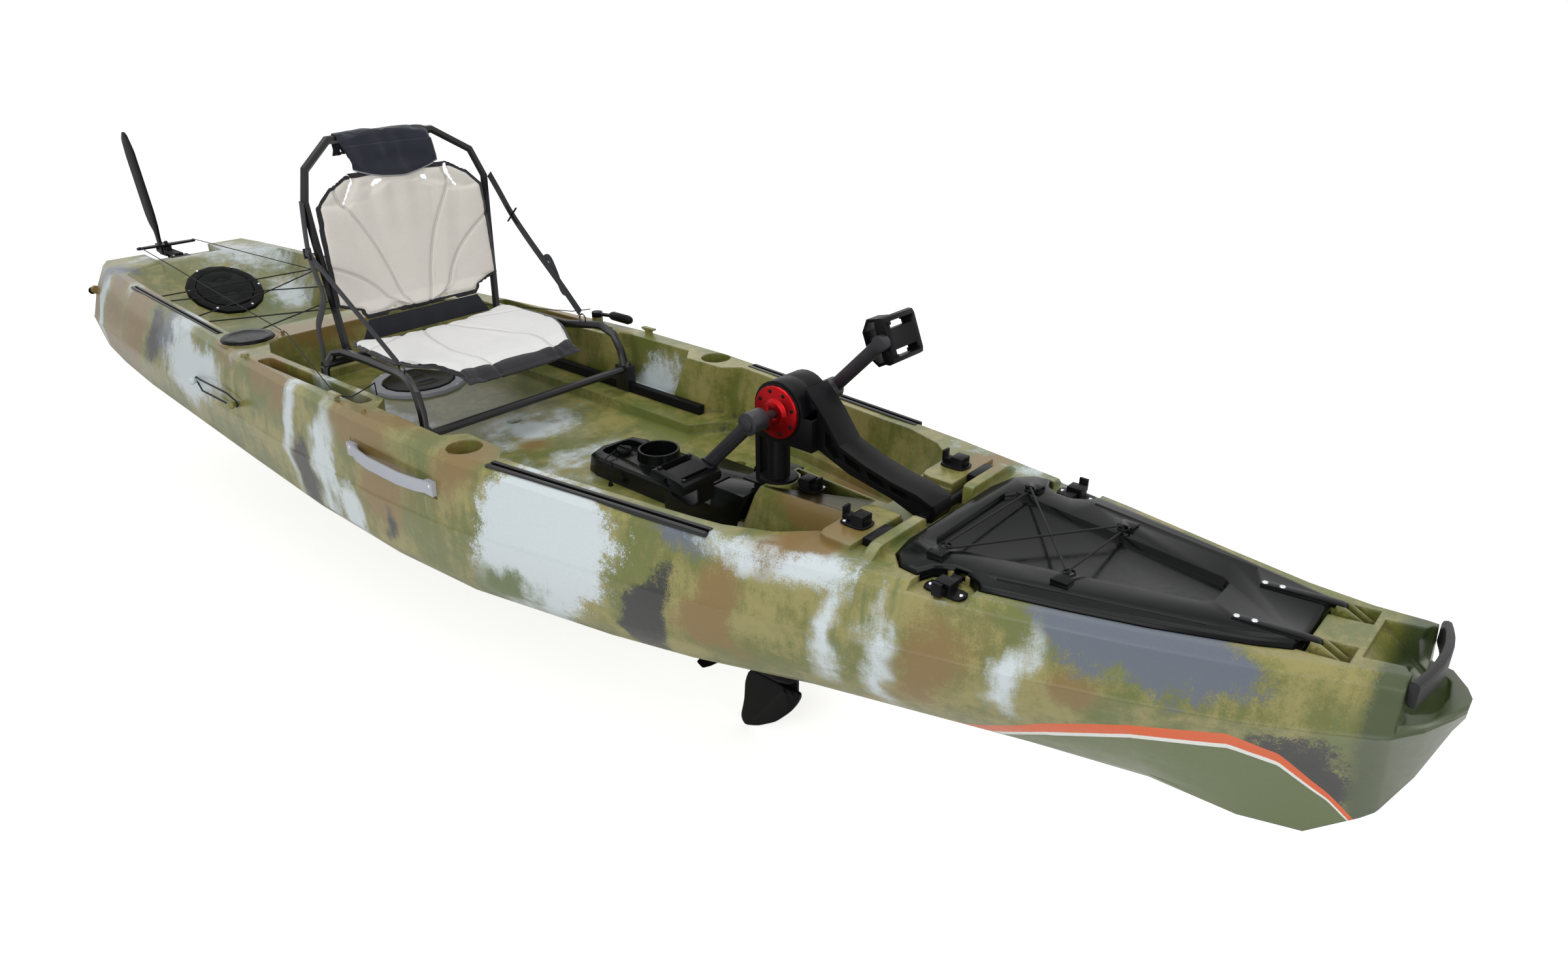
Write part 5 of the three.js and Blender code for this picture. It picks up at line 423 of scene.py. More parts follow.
def welded_copy(node, name):
    alone(frame["nodes"][node])
    bpy.ops.object.duplicate()
    piece = bpy.context.object
    piece.parent, piece.name = None, name
    for key in list(piece.keys()):
        del piece[key]
    piece.data.materials.clear()
    bpy.ops.object.mode_set(mode="EDIT")
    bpy.ops.mesh.select_all(action="SELECT")
    bpy.ops.mesh.remove_doubles(threshold=2e-5)
    bpy.ops.mesh.dissolve_limited(angle_limit=math.radians(0.6))
    bpy.ops.mesh.customdata_custom_splitnormals_clear() if piece.data.has_custom_normals else None
    bpy.ops.object.mode_set(mode="OBJECT")
    return piece


def body_name(node):
    return next(b for b, members in frame["record"]["behaviour"]["bodies"].items() if node in members)


def placed(name, shape, move=None):
    """An object made from a shape, with its place in its mesh, linked to the scene."""
    mesh = bpy.data.meshes.new(name)
    shape.to_mesh(mesh)
    shape.free()
    if move is not None:
        mesh.transform(move)
    piece = bpy.data.objects.new(name, mesh)
    bpy.context.scene.collection.objects.link(piece)
    return piece


CLOTH_THICK = 0.0012


def thickened(cloth):
    """Gives a sheet its thickness, half to each side."""
    alone(cloth)
    wall = cloth.modifiers.new("wall", "SOLIDIFY")
    wall.thickness, wall.offset = CLOTH_THICK, 0.0
    bpy.ops.object.modifier_apply(modifier="wall")


def bevelled(piece, width, segments=2, angle=32):
    alone(piece)
    edge = piece.modifiers.new("edge", "BEVEL")
    edge.width, edge.segments = width, segments
    edge.limit_method, edge.angle_limit = "ANGLE", math.radians(angle)
    bpy.ops.object.modifier_apply(modifier="edge")


def smooth(piece, angle=34):
    alone(piece)
    bpy.ops.object.shade_smooth_by_angle(angle=math.radians(angle))


def dress(node, material, width=0.0, angle=34):
    piece = welded_copy(node, node + "_finished")
    if width:
        bevelled(piece, width)
    smooth(piece, angle)
    piece.data.materials.append(material)
    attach(piece, body_name(node))
    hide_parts(node)
    return piece


# Each finish, the width of its edge bevel in metres, and the nodes that take it
finish_table = (
    (hatch_black, 0.001, "stern_hatch_ring stern_hatch_lid seat_hatch_lid deck_plate"),
    (grey_plastic, 0.001, "seat_hatch_ring"),
    (dark_metal, 0.0005,
     "fore_gear_rail_port fore_gear_rail_starboard aft_gear_rail_port aft_gear_rail_starboard"),
    (satin_black, 0.0015, "seat_rail_port seat_rail_starboard"),
    (grey_plastic, 0.0, "side_grip_port side_grip_starboard"),
    (padded_grip, 0.0, "bow_handle"),
    (gloss_black, 0.0015, "bow_lid"),
    (cord_black, 0.0, "lid_cord tank_cord paddle_loop_port paddle_loop_starboard"),
    (satin_black, 0.001,
     "shoulder_latch_port shoulder_latch_starboard shoulder_bolt_port shoulder_bolt_starboard "
     "column_latch column_bolt lid_latch_port lid_latch_starboard lid_bolt_port "
     "lid_bolt_starboard pedal_starboard pedal_port drive_column drive_leg drive_fin "
     "rudder_bracket rudder_yoke"),
    (gloss_black, 0.002, "pod"),
    (rubber, 0.0, "pod_plug"),
    (crank_metal, 0.001, "crank_axle crank_port"),
    (steel, 0.0, "layshaft drive_shaft"),
    (satin_black, 0.0, "propeller"),
    (satin_black, 0.002, "drive_housing_port drive_housing_starboard"),
    (satin_black, 0.0012, "drive_arm"),
    (blade_black, 0.0012, "rudder_blade"),
    (satin_black, 0.0008, "steering_lever"),
    (line_black, 0.0, "steering_line_starboard steering_line_port"),
    (dark_metal, 0.0008, "seat_frame"),
    (dark_metal, 0.0, "backrest_frame"),
)
dressed = {node: dress(node, material, width)
           for material, width, nodes in finish_table for node in nodes.split()}
dressed["hull"] = dress("hull", hull_finish.material, 0.0, 30)
print("dressed parts", len(dressed))

# %% [markdown]
# The seat's two cloth pads are sewn like quilts. Each starts from its plain solid, is remeshed into even
# faces and blown up as cloth under pressure, so it crowns between its edges. The fan of seams is pressed
# in afterwards, because cloth and remesh would wipe out anything so narrow.

# %% Blow up a pad
def puffed(node, name, face=0.005, pressure=4.0, most=0.008):
    pad = welded_copy(node, name)
    thin = pad.modifiers.new("thin", "DISPLACE")
    thin.strength, thin.mid_level = -0.0015, 0.0
    bpy.ops.object.modifier_apply(modifier="thin")
    pad.data.remesh_voxel_size = face
    bpy.ops.object.voxel_remesh()
    at_rest = [v.co.copy() for v in pad.data.vertices]
    cloth = pad.modifiers.new("cloth", "CLOTH")
    cloth.settings.use_pressure, cloth.settings.uniform_pressure_force = True, pressure
    cloth.settings.effector_weights.gravity = 0.0
    for step in range(1, 21):
        bpy.context.scene.frame_set(step)
    bpy.ops.object.modifier_apply(modifier="cloth")
    for vertex, start in zip(pad.data.vertices, at_rest):
        moved = vertex.co - start
        if moved.length > most:
            vertex.co = start + moved * (most / moved.length)
    bpy.context.scene.frame_set(1)
    round_off = pad.modifiers.new("round_off", "SUBSURF")
    round_off.levels = 1
    bpy.ops.object.modifier_apply(modifier="round_off")
    bpy.ops.object.shade_smooth()
    print(name, len(pad.data.polygons), "faces")
    return pad


# %% [markdown]
# A pad's outline is a short table: how far along it is, its place and its half width. Seams are written
# as shares of that outline, so each one can be placed by eye. Every point of the pad then learns how far
# it is from the nearest seam and from the rim, and the cloth's material reads both.

# %% Outlines and seams
# Share along the pad, place along it, half width (metres)
SEAT_OUTLINE = ((0, -0.420, 0.240), (0.12, -0.386, 0.262), (0.5, -0.190, 0.264), (0.72, -0.122, 0.236),
                (0.8, -0.072, 0.206), (0.9, -0.026, 0.184), (1, 0.008, 0.176))
BACK_OUTLINE = ((0, 0.480, 0.172), (0.08, 0.499, 0.180), (0.2, 0.530, 0.256), (0.6, 0.700, 0.256),
                (0.82, 0.795, 0.252), (0.88, 0.820, 0.226), (0.94, 0.842, 0.180), (1, 0.861, 0.150))
# Each seam: share of the half width and share of the length, at three points
BACK_SEAMS = (((-0.14, 0.0), (-0.42, 0.55), (-0.88, 0.90)), ((-0.27, 0.0), (-0.47, 0.27), (-1.0, 0.46)),
              ((0.12, 0.0), (0.27, 0.50), (0.72, 0.96)), ((0.33, 0.0), (0.47, 0.34), (1.0, 0.63)))
SEAT_SEAMS = (((-0.08, 0.0), (-0.30, 0.42), (-0.40, 1.0)), ((-0.30, 0.0), (-0.60, 0.17), (-1.0, 0.26)),
              ((0.08, 0.0), (0.34, 0.42), (0.66, 1.0)), ((0.30, 0.0), (0.62, 0.17), (1.0, 0.26)))


def seam_line(table, seam, steps=20):
    """A seam's points in metres, across the pad and along it, on a smooth curve through its middle point."""
    (a0, v0), (a1, v1), (a2, v2) = seam
    ends = []
    for k in range(steps + 1):
        t = k / steps
        w0, w1, w2 = (1 - t) * (1 - 2 * t), 4 * t * (1 - t), t * (2 * t - 1)
        v = v0 * w0 + v1 * w1 + v2 * w2
        place, half = (float(np.interp(v, [row[0] for row in table], [row[column] for row in table]))
                       for column in (1, 2))
        ends.append(((a0 * w0 + a1 * w1 + a2 * w2) * half, place))
    return ends


def sew(pad, table, seams, axis, front, depth=0.0035, reach=0.005, wide=0.012):
    """Presses the seams in and writes seam, run and rim for the material."""
    count = len(pad.data.vertices)
    places, normals = np.empty(count * 3), np.empty(count * 3)
    pad.data.vertices.foreach_get("co", places)
    pad.data.vertices.foreach_get("normal", normals)
    places, normals = places.reshape(-1, 3), normals.reshape(-1, 3)
    across, along = places[:, 1], places[:, axis]
    seam_gap, seam_run = np.full(count, 9.0), np.zeros(count)
    for seam in seams:
        line, run = seam_line(table, seam), 0.0
        for (x0, z0), (x1, z1) in zip(line, line[1:]):
            dx, dz = x1 - x0, z1 - z0
            long = math.hypot(dx, dz)
            t = np.clip(((across - x0) * dx + (along - z0) * dz) / long ** 2, 0, 1)
            gap = np.hypot(across - x0 - dx * t, along - z0 - dz * t)
            nearer = gap < seam_gap
            seam_gap = np.where(nearer, gap, seam_gap)
            seam_run = np.where(nearer, run + long * t, seam_run)
            run += long
    shelves = np.linspace(along.min(), along.max(), 61)
    shelf = np.clip(np.searchsorted(shelves, along) - 1, 0, 59)
    widest = [float(np.abs(across[shelf == k]).max()) if (shelf == k).any() else 0.0 for k in range(60)]
    outline = [(0.0, shelves[0])] + list(zip(widest, (shelves[:-1] + shelves[1:]) / 2)) + [(0.0, shelves[-1])]
    rim = np.full(count, 9.0)
    for (x0, z0), (x1, z1) in zip(outline, outline[1:]):
        dx, dz = x1 - x0, z1 - z0
        t = np.clip(((np.abs(across) - x0) * dx + (along - z0) * dz) / (dx * dx + dz * dz), 0, 1)
        rim = np.minimum(rim, np.hypot(np.abs(across) - x0 - dx * t, along - z0 - dz * t))
    press = depth * (np.exp(-(seam_gap / reach) ** 2) + 0.45 * np.exp(-((rim - wide) / reach) ** 2))
    places -= normals * (np.abs(normals @ np.array(front)) * press)[:, None]
    pad.data.vertices.foreach_set("co", places.ravel())
    for key, value in (("seam", seam_gap), ("run", seam_run), ("rim", rim)):
        pad.data.attributes.new(key, "FLOAT", "POINT").data.foreach_set("value", value)
    pad.data.update()
    print(pad.name, "seams", len(seams))


# %% [markdown]
# The cloth is a pale knitted mesh. Thread runs beside each seam in short stitches, and a black binding
# closes the rim. Both come from the distances that sewing wrote, so they follow the seams exactly.

# %% Pad cloth
def pad_cloth(name, face_colour, shade, front_band=0.0):
    finish = Finish(name, Roughness=0.84, Sheen_Weight=0.25, Sheen_Roughness=0.5, Specular_IOR_Level=0.2)
    seam, run, rim = (finish.node("ShaderNodeAttribute", {"attribute_name": key}, out="Fac")
                      for key in ("seam", "run", "rim"))
    cells = finish.node("ShaderNodeTexVoronoi", {"feature": "F1"},
                        Vector=finish.shifted(scale=(1.0, 1.0, 1.6)), Scale=520.0)
    worn = finish.noise(7.0, 4.0, 0.6)
    fibre = finish.noise(700.0, 2.0, 0.6)
    colour = finish.mix(worn * 0.35 + cells * 0.35 + fibre * 0.15, face_colour, shade)
    # Painted shade in the pressed-in seam grooves: the cloth turns grey within 4 mm of each seam's line
    colour = finish.mix(seam.ramp(0.004, 0.0, 0.0, 0.35), colour, paint(150, 146, 140))
    dash = finish.node("ShaderNodeMath", {"operation": "FRACT"}, run / 0.0045)
    stitch = (abs(seam - 0.0032) < 0.0006) * (dash > 0.3)
    colour = finish.mix(stitch * 0.5, colour, paint(120, 116, 112))
    edge = (rim + (finish.noise(30.0, 1.0) - 0.5) * 0.002).ramp(0.0112, 0.0104)
    if front_band:
        wave = finish.noise(14.0, 1.0, 0.4) * 0.02
        edge = edge.most((finish.axis("X") + wave + front_band).ramp(0.0, 0.001))
    colour = finish.mix(edge, colour, finish.mix(cells, paint(20, 20, 23), paint(40, 40, 44)))
    finish.set("Base Color", colour)
    finish.set("Roughness", edge * -0.2 + 0.86)
    finish.relief(cells * 0.8 + fibre * 0.3 + stitch * 1.5, 0.0005, 0.7)
    return finish.material


seat_cloth = pad_cloth("seat_pad_cloth", paint(232, 232, 230), paint(206, 206, 206), front_band=0.026)
back_cloth = pad_cloth("back_pad_cloth", paint(226, 221, 214), paint(198, 192, 184))

# %% Sew the two pads
seat_pad = puffed("seat_pad", "seat_pad_sewn", most=0.009)
sew(seat_pad, SEAT_OUTLINE, SEAT_SEAMS, 0, Vector((0, 0, 1)))
back_pad = puffed("back_pad", "back_pad_sewn", most=0.008)
for vertex in back_pad.data.vertices:
    # Gathers under the head roll, deepest near the top
    share = max(0.0, (vertex.co.z - 0.66) / 0.18)
    across = vertex.co.y / 0.25
    fold = math.sin(across * 15 + 2.2 * math.sin(across * 3.1)) + 0.5 * math.sin(across * 27 + 1.0)
    vertex.co.x += 0.0022 * fold * min(1.0, share) * max(0.0, 1 - abs(across) ** 4)
sew(back_pad, BACK_OUTLINE, BACK_SEAMS, 2, Vector((1, 0, 0)))
for pad, node, cloth, fill in ((seat_pad, "seat_pad", seat_cloth, 0.45),
                               (back_pad, "back_pad", back_cloth, 0.4)):
    pad.data.materials.append(cloth)
    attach(pad, body_name(node))
    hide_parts(node)

# %% [markdown]
# The head roll is black cloth folded over the top tube and gathered into the back pad. It is blown up
# the same way and creased where it is gathered. Its front hangs down over the pad's top edge on a curved
# line that ends in a thin grey piping.

# %% Head roll
def head_fabric(name):
    """Smooth black cloth, and the colour that it starts from."""
    cloth = Finish(name, Roughness=0.8, Sheen_Weight=0.35, Sheen_Roughness=0.4, Specular_IOR_Level=0.25)
    weave, sheen_patch = cloth.noise(600.0, 2.0, 0.7), cloth.noise(9.0, 3.0, 0.5)
    cloth.relief(weave, 0.0005, 0.6)
    return cloth, cloth.mix(sheen_patch * 0.6 + weave * 0.3, paint(16, 18, 26), paint(38, 41, 54))


head_cloth, head_colour = head_fabric("head_roll_cloth")
head_cloth.set("Base Color", head_colour)
head_roll = puffed("head_pad", "head_roll", most=0.006)
for vertex in head_roll.data.vertices:
    across, drop = vertex.co.y / 0.13, (0.949 - vertex.co.z) / 0.083
    crease = math.sin(across * 11 + 1.5 * math.sin(across * 4.0)) * math.exp(-((drop - 0.45) / 0.35) ** 2)
    vertex.co += vertex.normal * 0.0024 * crease
head_roll.data.materials.append(head_cloth.material)
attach(head_roll, body_name("head_pad"))
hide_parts("head_pad")


# %% Cloth from the head roll to the pad
# Metres across and up; past its sight the roll has no flat front for a ray to find
HANG = {"half": 0.122, "sight": 0.115, "top": 0.915, "middle": 0.832, "corner": 0.858, "columns": 44,
        "rows": 22,
        "piping": 0.003, "lift": 0.0022, "piping_lift": 0.001, "crease": 0.0016}


def foremost(across, up):
    """The front of the head roll or the pad at a place across and up, or nothing in the gap."""
    hits = [piece.ray_cast(Vector((0.6, across, up)), Vector((-1, 0, 0))) for piece in (head_roll, back_pad)]
    return max((place.x for hit, place, _, _ in hits if hit), default=None)


hang_mesh = bmesh.new()
tail = hang_mesh.verts.layers.float.new("tail")
grid = []
for j in range(HANG["columns"] + 1):
    share = 2 * j / HANG["columns"] - 1
    across = share * HANG["half"]
    low_edge = HANG["middle"] + (HANG["corner"] - HANG["middle"]) * share * share
    ups = [HANG["top"] + (low_edge - HANG["top"]) * i / HANG["rows"] for i in range(HANG["rows"] + 1)]
    fronts = [foremost(max(-HANG["sight"], min(HANG["sight"], across)), up) for up in ups]
    known = [(-up, front) for up, front in zip(ups, fronts) if front is not None]
    line = np.interp([-up for up in ups], [k[0] for k in known], [k[1] for k in known])
    for again in range(6):
        line[1:-1] = np.maximum(line[1:-1], (line[:-2] + line[2:]) / 2)
    crease = [HANG["crease"] * math.sin(share * 13 + 1.4 * math.sin(share * 5))
              * math.sin(math.pi * i / HANG["rows"]) for i in range(HANG["rows"] + 1)]
    column = []
    for i, up in enumerate(ups):
        ridge = HANG["piping_lift"] if i >= HANG["rows"] - 1 else 0.0
        vert = hang_mesh.verts.new((line[i] + HANG["lift"] + crease[i] + ridge, across, up))
        vert[tail] = up - low_edge
        column.append(vert)
    grid.append(column)
for left, right in zip(grid, grid[1:]):
    for i in range(HANG["rows"]):
        hang_mesh.faces.new((left[i], left[i + 1], right[i + 1], right[i]))
flat_wide = sum((left[0].co - right[0].co).length for left, right in zip(grid, grid[1:]))
flat_long = max(sum((above.co - below.co).length for above, below in zip(column, column[1:]))
                for column in grid)
flat_area = min(sum(face.calc_area() for face in hang_mesh.faces), flat_wide * flat_long)
hang = placed("head_cloth_hang", hang_mesh)
thickened(hang)
bpy.ops.object.mode_set(mode="EDIT")
bpy.ops.mesh.select_all(action="SELECT")
bpy.ops.mesh.normals_make_consistent(inside=False)
bpy.ops.object.mode_set(mode="OBJECT")
bpy.ops.object.shade_smooth()
hang_cloth, hang_colour = head_fabric("head_hang_cloth")
tail_value = hang_cloth.node("ShaderNodeAttribute", {"attribute_name": "tail"}, out="Fac")
hang_cloth.set("Base Color", hang_cloth.mix(tail_value < HANG["piping"], hang_colour, paint(146, 146, 150)))
hang.data.materials.append(hang_cloth.material)
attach(hang, body_name("head_pad"))
print("head cloth", round(flat_wide, 3), "by", round(flat_long, 3))

# %% [markdown]
# Webbing is a flat ribbon, drawn through a few points on a smooth curve. Its lower end stays with the
# seat while its upper end goes with the backrest; here each ribbon is fixed in place and follows neither body.

# %% Webbing ribbons
STRAP_Y = 0.2742
STRAP_FOOT, STRAP_HEAD = (-0.116, STRAP_Y, 0.466), (-0.462, STRAP_Y, 0.80)


def ribbon(name, points, wide, thick=0.0018, steps=10):
    """A strap through points; its broad face looks sideways, and its edges are a little rounded."""
    knots = [Vector(p) for p in points]
    line = []
    for k in range(len(knots) - 1):
        before, a, b, after = knots[max(k - 1, 0)], knots[k], knots[k + 1], knots[min(k + 2, len(knots) - 1)]
        for s in range(steps + (k == len(knots) - 2)):
            t = s / steps
            line.append(0.5 * (2 * a + (b - before) * t + (2 * before - 5 * a + 4 * b - after) * t * t
                               + (3 * a - before - 3 * b + after) * t ** 3))
    shape = bmesh.new()
    section = ((-0.5, 0.3), (-0.46, 0.5), (0.46, 0.5), (0.5, 0.3), (0.5, -0.3), (0.46, -0.5), (-0.46, -0.5),
               (-0.5, -0.3))
    rings = []
    for k, at in enumerate(line):
        ahead = (line[min(k + 1, len(line) - 1)] - line[max(k - 1, 0)]).normalized()
        across = ahead.cross(Vector((0, 1, 0))).normalized()
        face = across.cross(ahead)
        rings.append([shape.verts.new(at + across * (u * wide) + face * (v * thick)) for u, v in section])
    for near, far in zip(rings, rings[1:]):
        for i in range(len(section)):
            j = (i + 1) % len(section)
            shape.faces.new((near[i], near[j], far[j], far[i]))
    shape.faces.new(rings[0][::-1])
    shape.faces.new(rings[-1])
    bmesh.ops.recalc_face_normals(shape, faces=shape.faces)
    strap = placed(name, shape)
    strap.data.materials.append(webbing_cloth)
    smooth(strap, 40)
    return strap


def hung_between(strap, low, high, *nodes):
    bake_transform(strap)
    if nodes:
        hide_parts(*nodes)


far_strap = ribbon("far_strap",
                   [(-0.463, STRAP_Y, 0.803), (-0.425, STRAP_Y + 0.001, 0.757),
                    (-0.380, STRAP_Y + 0.003, 0.700),
                                 (-0.300, STRAP_Y + 0.003, 0.627), (-0.200, STRAP_Y + 0.004, 0.542),
                                 (-0.116, STRAP_Y + 0.0046, 0.466)], 0.024)
hung_between(far_strap, STRAP_FOOT, STRAP_HEAD, "seat_strap_port")
near_strap = ribbon("near_strap",
                    [(-0.477, -STRAP_Y, 0.672), (-0.360, -STRAP_Y - 0.001, 0.604),
                     (-0.240, -STRAP_Y - 0.003, 0.536),
                                   (-0.116, -STRAP_Y - 0.0054, 0.466)], 0.019)
hung_between(near_strap, (-0.116, -STRAP_Y, 0.466), (-0.477, -STRAP_Y, 0.672), "seat_strap_starboard")
near_tail = ribbon("near_strap_tail",
                   [(-0.463, -STRAP_Y, 0.802), (-0.474, -STRAP_Y, 0.730), (-0.477, -STRAP_Y, 0.672),
                    (-0.458, -STRAP_Y - 0.001, 0.620),
                                       (-0.441, -STRAP_Y - 0.001, 0.568), (-0.470, -STRAP_Y - 0.002, 0.520),
                                       (-0.499, -STRAP_Y - 0.002, 0.477),
                                       (-0.498, -STRAP_Y - 0.003, 0.415), (-0.504, -STRAP_Y - 0.003, 0.352)],
                                       0.024)
hung_between(near_tail, (-0.504, -STRAP_Y, 0.352), (-0.477, -STRAP_Y, 0.672), "seat_strap_starboard")
loop_end = ribbon("far_strap_tail",
                  [(-0.262, STRAP_Y + 0.005, 0.588), (-0.236, STRAP_Y + 0.006, 0.600),
                   (-0.214, STRAP_Y + 0.006, 0.570),
                                     (-0.190, STRAP_Y + 0.006, 0.520), (-0.176, STRAP_Y + 0.006, 0.512)],
                                     0.020)
hung_between(loop_end, STRAP_FOOT, STRAP_HEAD, "seat_strap_port")
print("straps", far_strap.dimensions[:])

# %% [markdown]
# The far strap runs through a ladder slider and the near one through a cam buckle. Both are moulded
# frames: a bevelled block with slots for the slider, and a hinged cam over a plate for the buckle.

# %% Slider and cam buckle
def boxed(name, size, place, turn=0.0, round_by=0.0015, segments=3):
    """A bevelled block turned about the Y axis, with its points already in place."""
    bpy.ops.object.select_all(action="DESELECT")
    bpy.ops.mesh.primitive_cube_add(size=1)
    piece = bpy.context.object
    piece.name = name
    turned = Matrix.Translation(place) @ Matrix.Rotation(turn, 4, "Y")
    piece.data.transform(turned @ Matrix.Diagonal((*size, 1)))
    if round_by:
        bevelled(piece, round_by, segments)
    smooth(piece, 40)
    return piece


def joined(name, pieces, material, body):
    """One piece from several; with no body it is attached to none."""
    bpy.ops.object.select_all(action="DESELECT")
    for piece in pieces:
        piece.select_set(True)
    bpy.context.view_layer.objects.active = pieces[0]
    bpy.ops.object.join()
    whole = bpy.context.object
    whole.name = name
    whole.data.materials.clear()
    whole.data.materials.append(material)
    for face in whole.data.polygons:
        face.material_index = 0
    if body:
        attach(whole, body)
    return whole


lean = math.atan2(0.100, 0.082)
slider_at = Vector((-0.380, STRAP_Y + 0.003, 0.700))
run = Vector((math.sin(lean - 0.12), 0, -math.cos(lean - 0.12)))
across = run.cross(Vector((0, 1, 0)))
slider_bars = [boxed("bar", (0.005, 0.006, 0.034), slider_at + run * shift, turn=math.pi / 2 + 0.82,
                     round_by=0.0012) for shift in (-0.014, 0.0, 0.014)]
slider_bars += [boxed("side", (0.034, 0.005, 0.004), slider_at + across * shift, turn=math.pi / 2 + 0.82,
                      round_by=0.0012) for shift in (-0.0145, 0.0145)]
slider = joined("far_strap_slider", slider_bars, satin_black, None)
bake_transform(slider)
cam_at = Vector((-0.477, -STRAP_Y, 0.672))
cam_parts = [boxed("plate", (0.024, 0.004, 0.036), cam_at + Vector((0, 0.0008, 0)), round_by=0.0012),
             boxed("cam", (0.020, 0.007, 0.020), cam_at + Vector((0.004, -0.004, 0.004)), turn=0.3,
                   round_by=0.003),
             boxed("cheek", (0.003, 0.010, 0.026), cam_at + Vector((0.0125, -0.003, 0)), round_by=0.001),
             boxed("cheek", (0.003, 0.010, 0.026), cam_at + Vector((-0.0125, -0.003, 0)), round_by=0.001)]
joined("near_cam_buckle", cam_parts, crank_metal, "backrest_body")

# %% [markdown]
# A black flap closes the gap between the back pad's hem and the seat. It is one sheet of cloth, sewn to
# the hem and tucked behind the seat pad, with soft ripples along it.

# %% Flap under the back pad
flap_shape = bmesh.new()
columns, levels = 60, 10
grid = []
for i in range(columns + 1):
    share = i / columns * 2 - 1
    column = []
    for j in range(levels + 1):
        down = j / levels
        x = -0.4345 + 0.0055 * math.sin(down * math.pi * 0.5) + 0.0009 * math.sin(share * 17) * down
        column.append(flap_shape.verts.new((x, share * (0.168 + 0.030 * down), 0.486 - 0.052 * down)))
    grid.append(column)
for left, right in zip(grid, grid[1:]):
    for j in range(levels):
        flap_shape.faces.new((left[j], left[j + 1], right[j + 1], right[j]))
flap = placed("hem_flap", flap_shape)
thickened(flap)
smooth(flap, 50)
flap.data.materials.append(navy_cloth)
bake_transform(flap)

# %% [markdown]
# Screws are tiny but catch the light. A pan head with a cross recess is set at every place, turned to
# face away from what it holds. Screws that move together are joined into one piece.

# %% Screws
def pan_head(radius, tall, facets=20):
    """A domed head on its own axis, with a cross pressed into it."""
    shape = bmesh.new()
    profile = ((0.0, 1.0), (0.35, 0.97), (0.68, 0.82), (0.92, 0.5), (1.0, 0.0))
    centre = shape.verts.new((0, 0, tall * 0.62))
    rings = []
    for share, rise in profile[1:]:
        ring = []
        for k in range(facets):
            angle = 2 * math.pi * k / facets
            slot = share < 0.75 and min(abs(math.sin(angle)), abs(math.cos(angle))) < 0.2
            ring.append(shape.verts.new((radius * share * math.cos(angle), radius * share * math.sin(angle),
                                         tall * (rise - (0.35 if slot else 0.0)))))
        rings.append(ring)
    for k in range(facets):
        n = (k + 1) % facets
        shape.faces.new((centre, rings[0][k], rings[0][n]))
        for inner, outer in zip(rings, rings[1:]):
            shape.faces.new((inner[k], outer[k], outer[n], inner[n]))
    shape.faces.new([rings[-1][k] for k in range(facets)][::-1])
    mesh = bpy.data.meshes.new("pan_head")
    shape.to_mesh(mesh)
    shape.free()
    return mesh


def screws(name, body, material, radius, tall, places):
    """Places are pairs of a point in metres and the way the head faces."""
    heads = []
    for point, facing in places:
        head = bpy.data.objects.new("head", pan_head(radius, tall))
        turn = Vector(facing).to_track_quat("Z", "Y").to_matrix().to_4x4()
        head.data.transform(Matrix.Translation(point) @ turn)
        bpy.context.scene.collection.objects.link(head)
        heads.append(head)
    whole = joined(name, heads, material, body)
    smooth(whole, 50)
    print(name, len(places))
    return whole


def surface_under(piece, x, y, top=1.2):
    """The first place straight below x and y on a piece, and the way it faces."""
    hit, place, normal, _ = piece.ray_cast(Vector((x, y, top)), Vector((0, 0, -1)))
    return (place, normal) if hit else None


def set_down(piece, places, steepest=0.6):
    """Where straight lines down from places meet a piece that faces up there."""
    found = (surface_under(piece, x, y) for x, y in places)
    return [spot for spot in found if spot and spot[1].z > steepest]


def ring_of(centre, radius_x, radius_y, count, start=0.0):
    return [(centre[0] + radius_x * math.cos(start + 2 * math.pi * k / count),
             centre[1] + radius_y * math.sin(start + 2 * math.pi * k / count))
            for k in range(count)]

# %% Screws on the deck, the lid and the drive
hull_skin = dressed["hull"]
for name, node, count, size in (("stern_hatch_screws", "stern_hatch_ring", 6, 0.0045),
                                ("seat_hatch_screws", "seat_hatch_ring", 6, 0.0036)):
    low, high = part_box(node)
    centre = ((low[0] + high[0]) / 2, (low[1] + high[1]) / 2)
    reach = ((high[0] - low[0]) / 2 - 0.010, (high[1] - low[1]) / 2 - 0.0105)
    screws(name, "hull_body", steel, size, size / 2,
           set_down(dressed[node], ring_of(centre, *reach, count, 0.4)))
latch_places = {"shoulder_latch_port": ((1.206, 0.163), (1.154, 0.176)),
                "shoulder_latch_starboard": ((1.206, -0.163), (1.154, -0.176)),
                "lid_latch_port": ((1.372, 0.229), (1.430, 0.229)),
                "lid_latch_starboard": ((1.372, -0.229), (1.430, -0.229)),
                "column_latch": ((0.900, 0.0), (0.957, 0.013))}
screws("latch_screws", "hull_body", steel, 0.004, 0.002,
       [spot for node, places in latch_places.items() for spot in set_down(dressed[node], places, 0.9)])
low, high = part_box("drive_flange_starboard")
hub = Vector(((low[0] + high[0]) / 2, 0, (low[2] + high[2]) / 2))
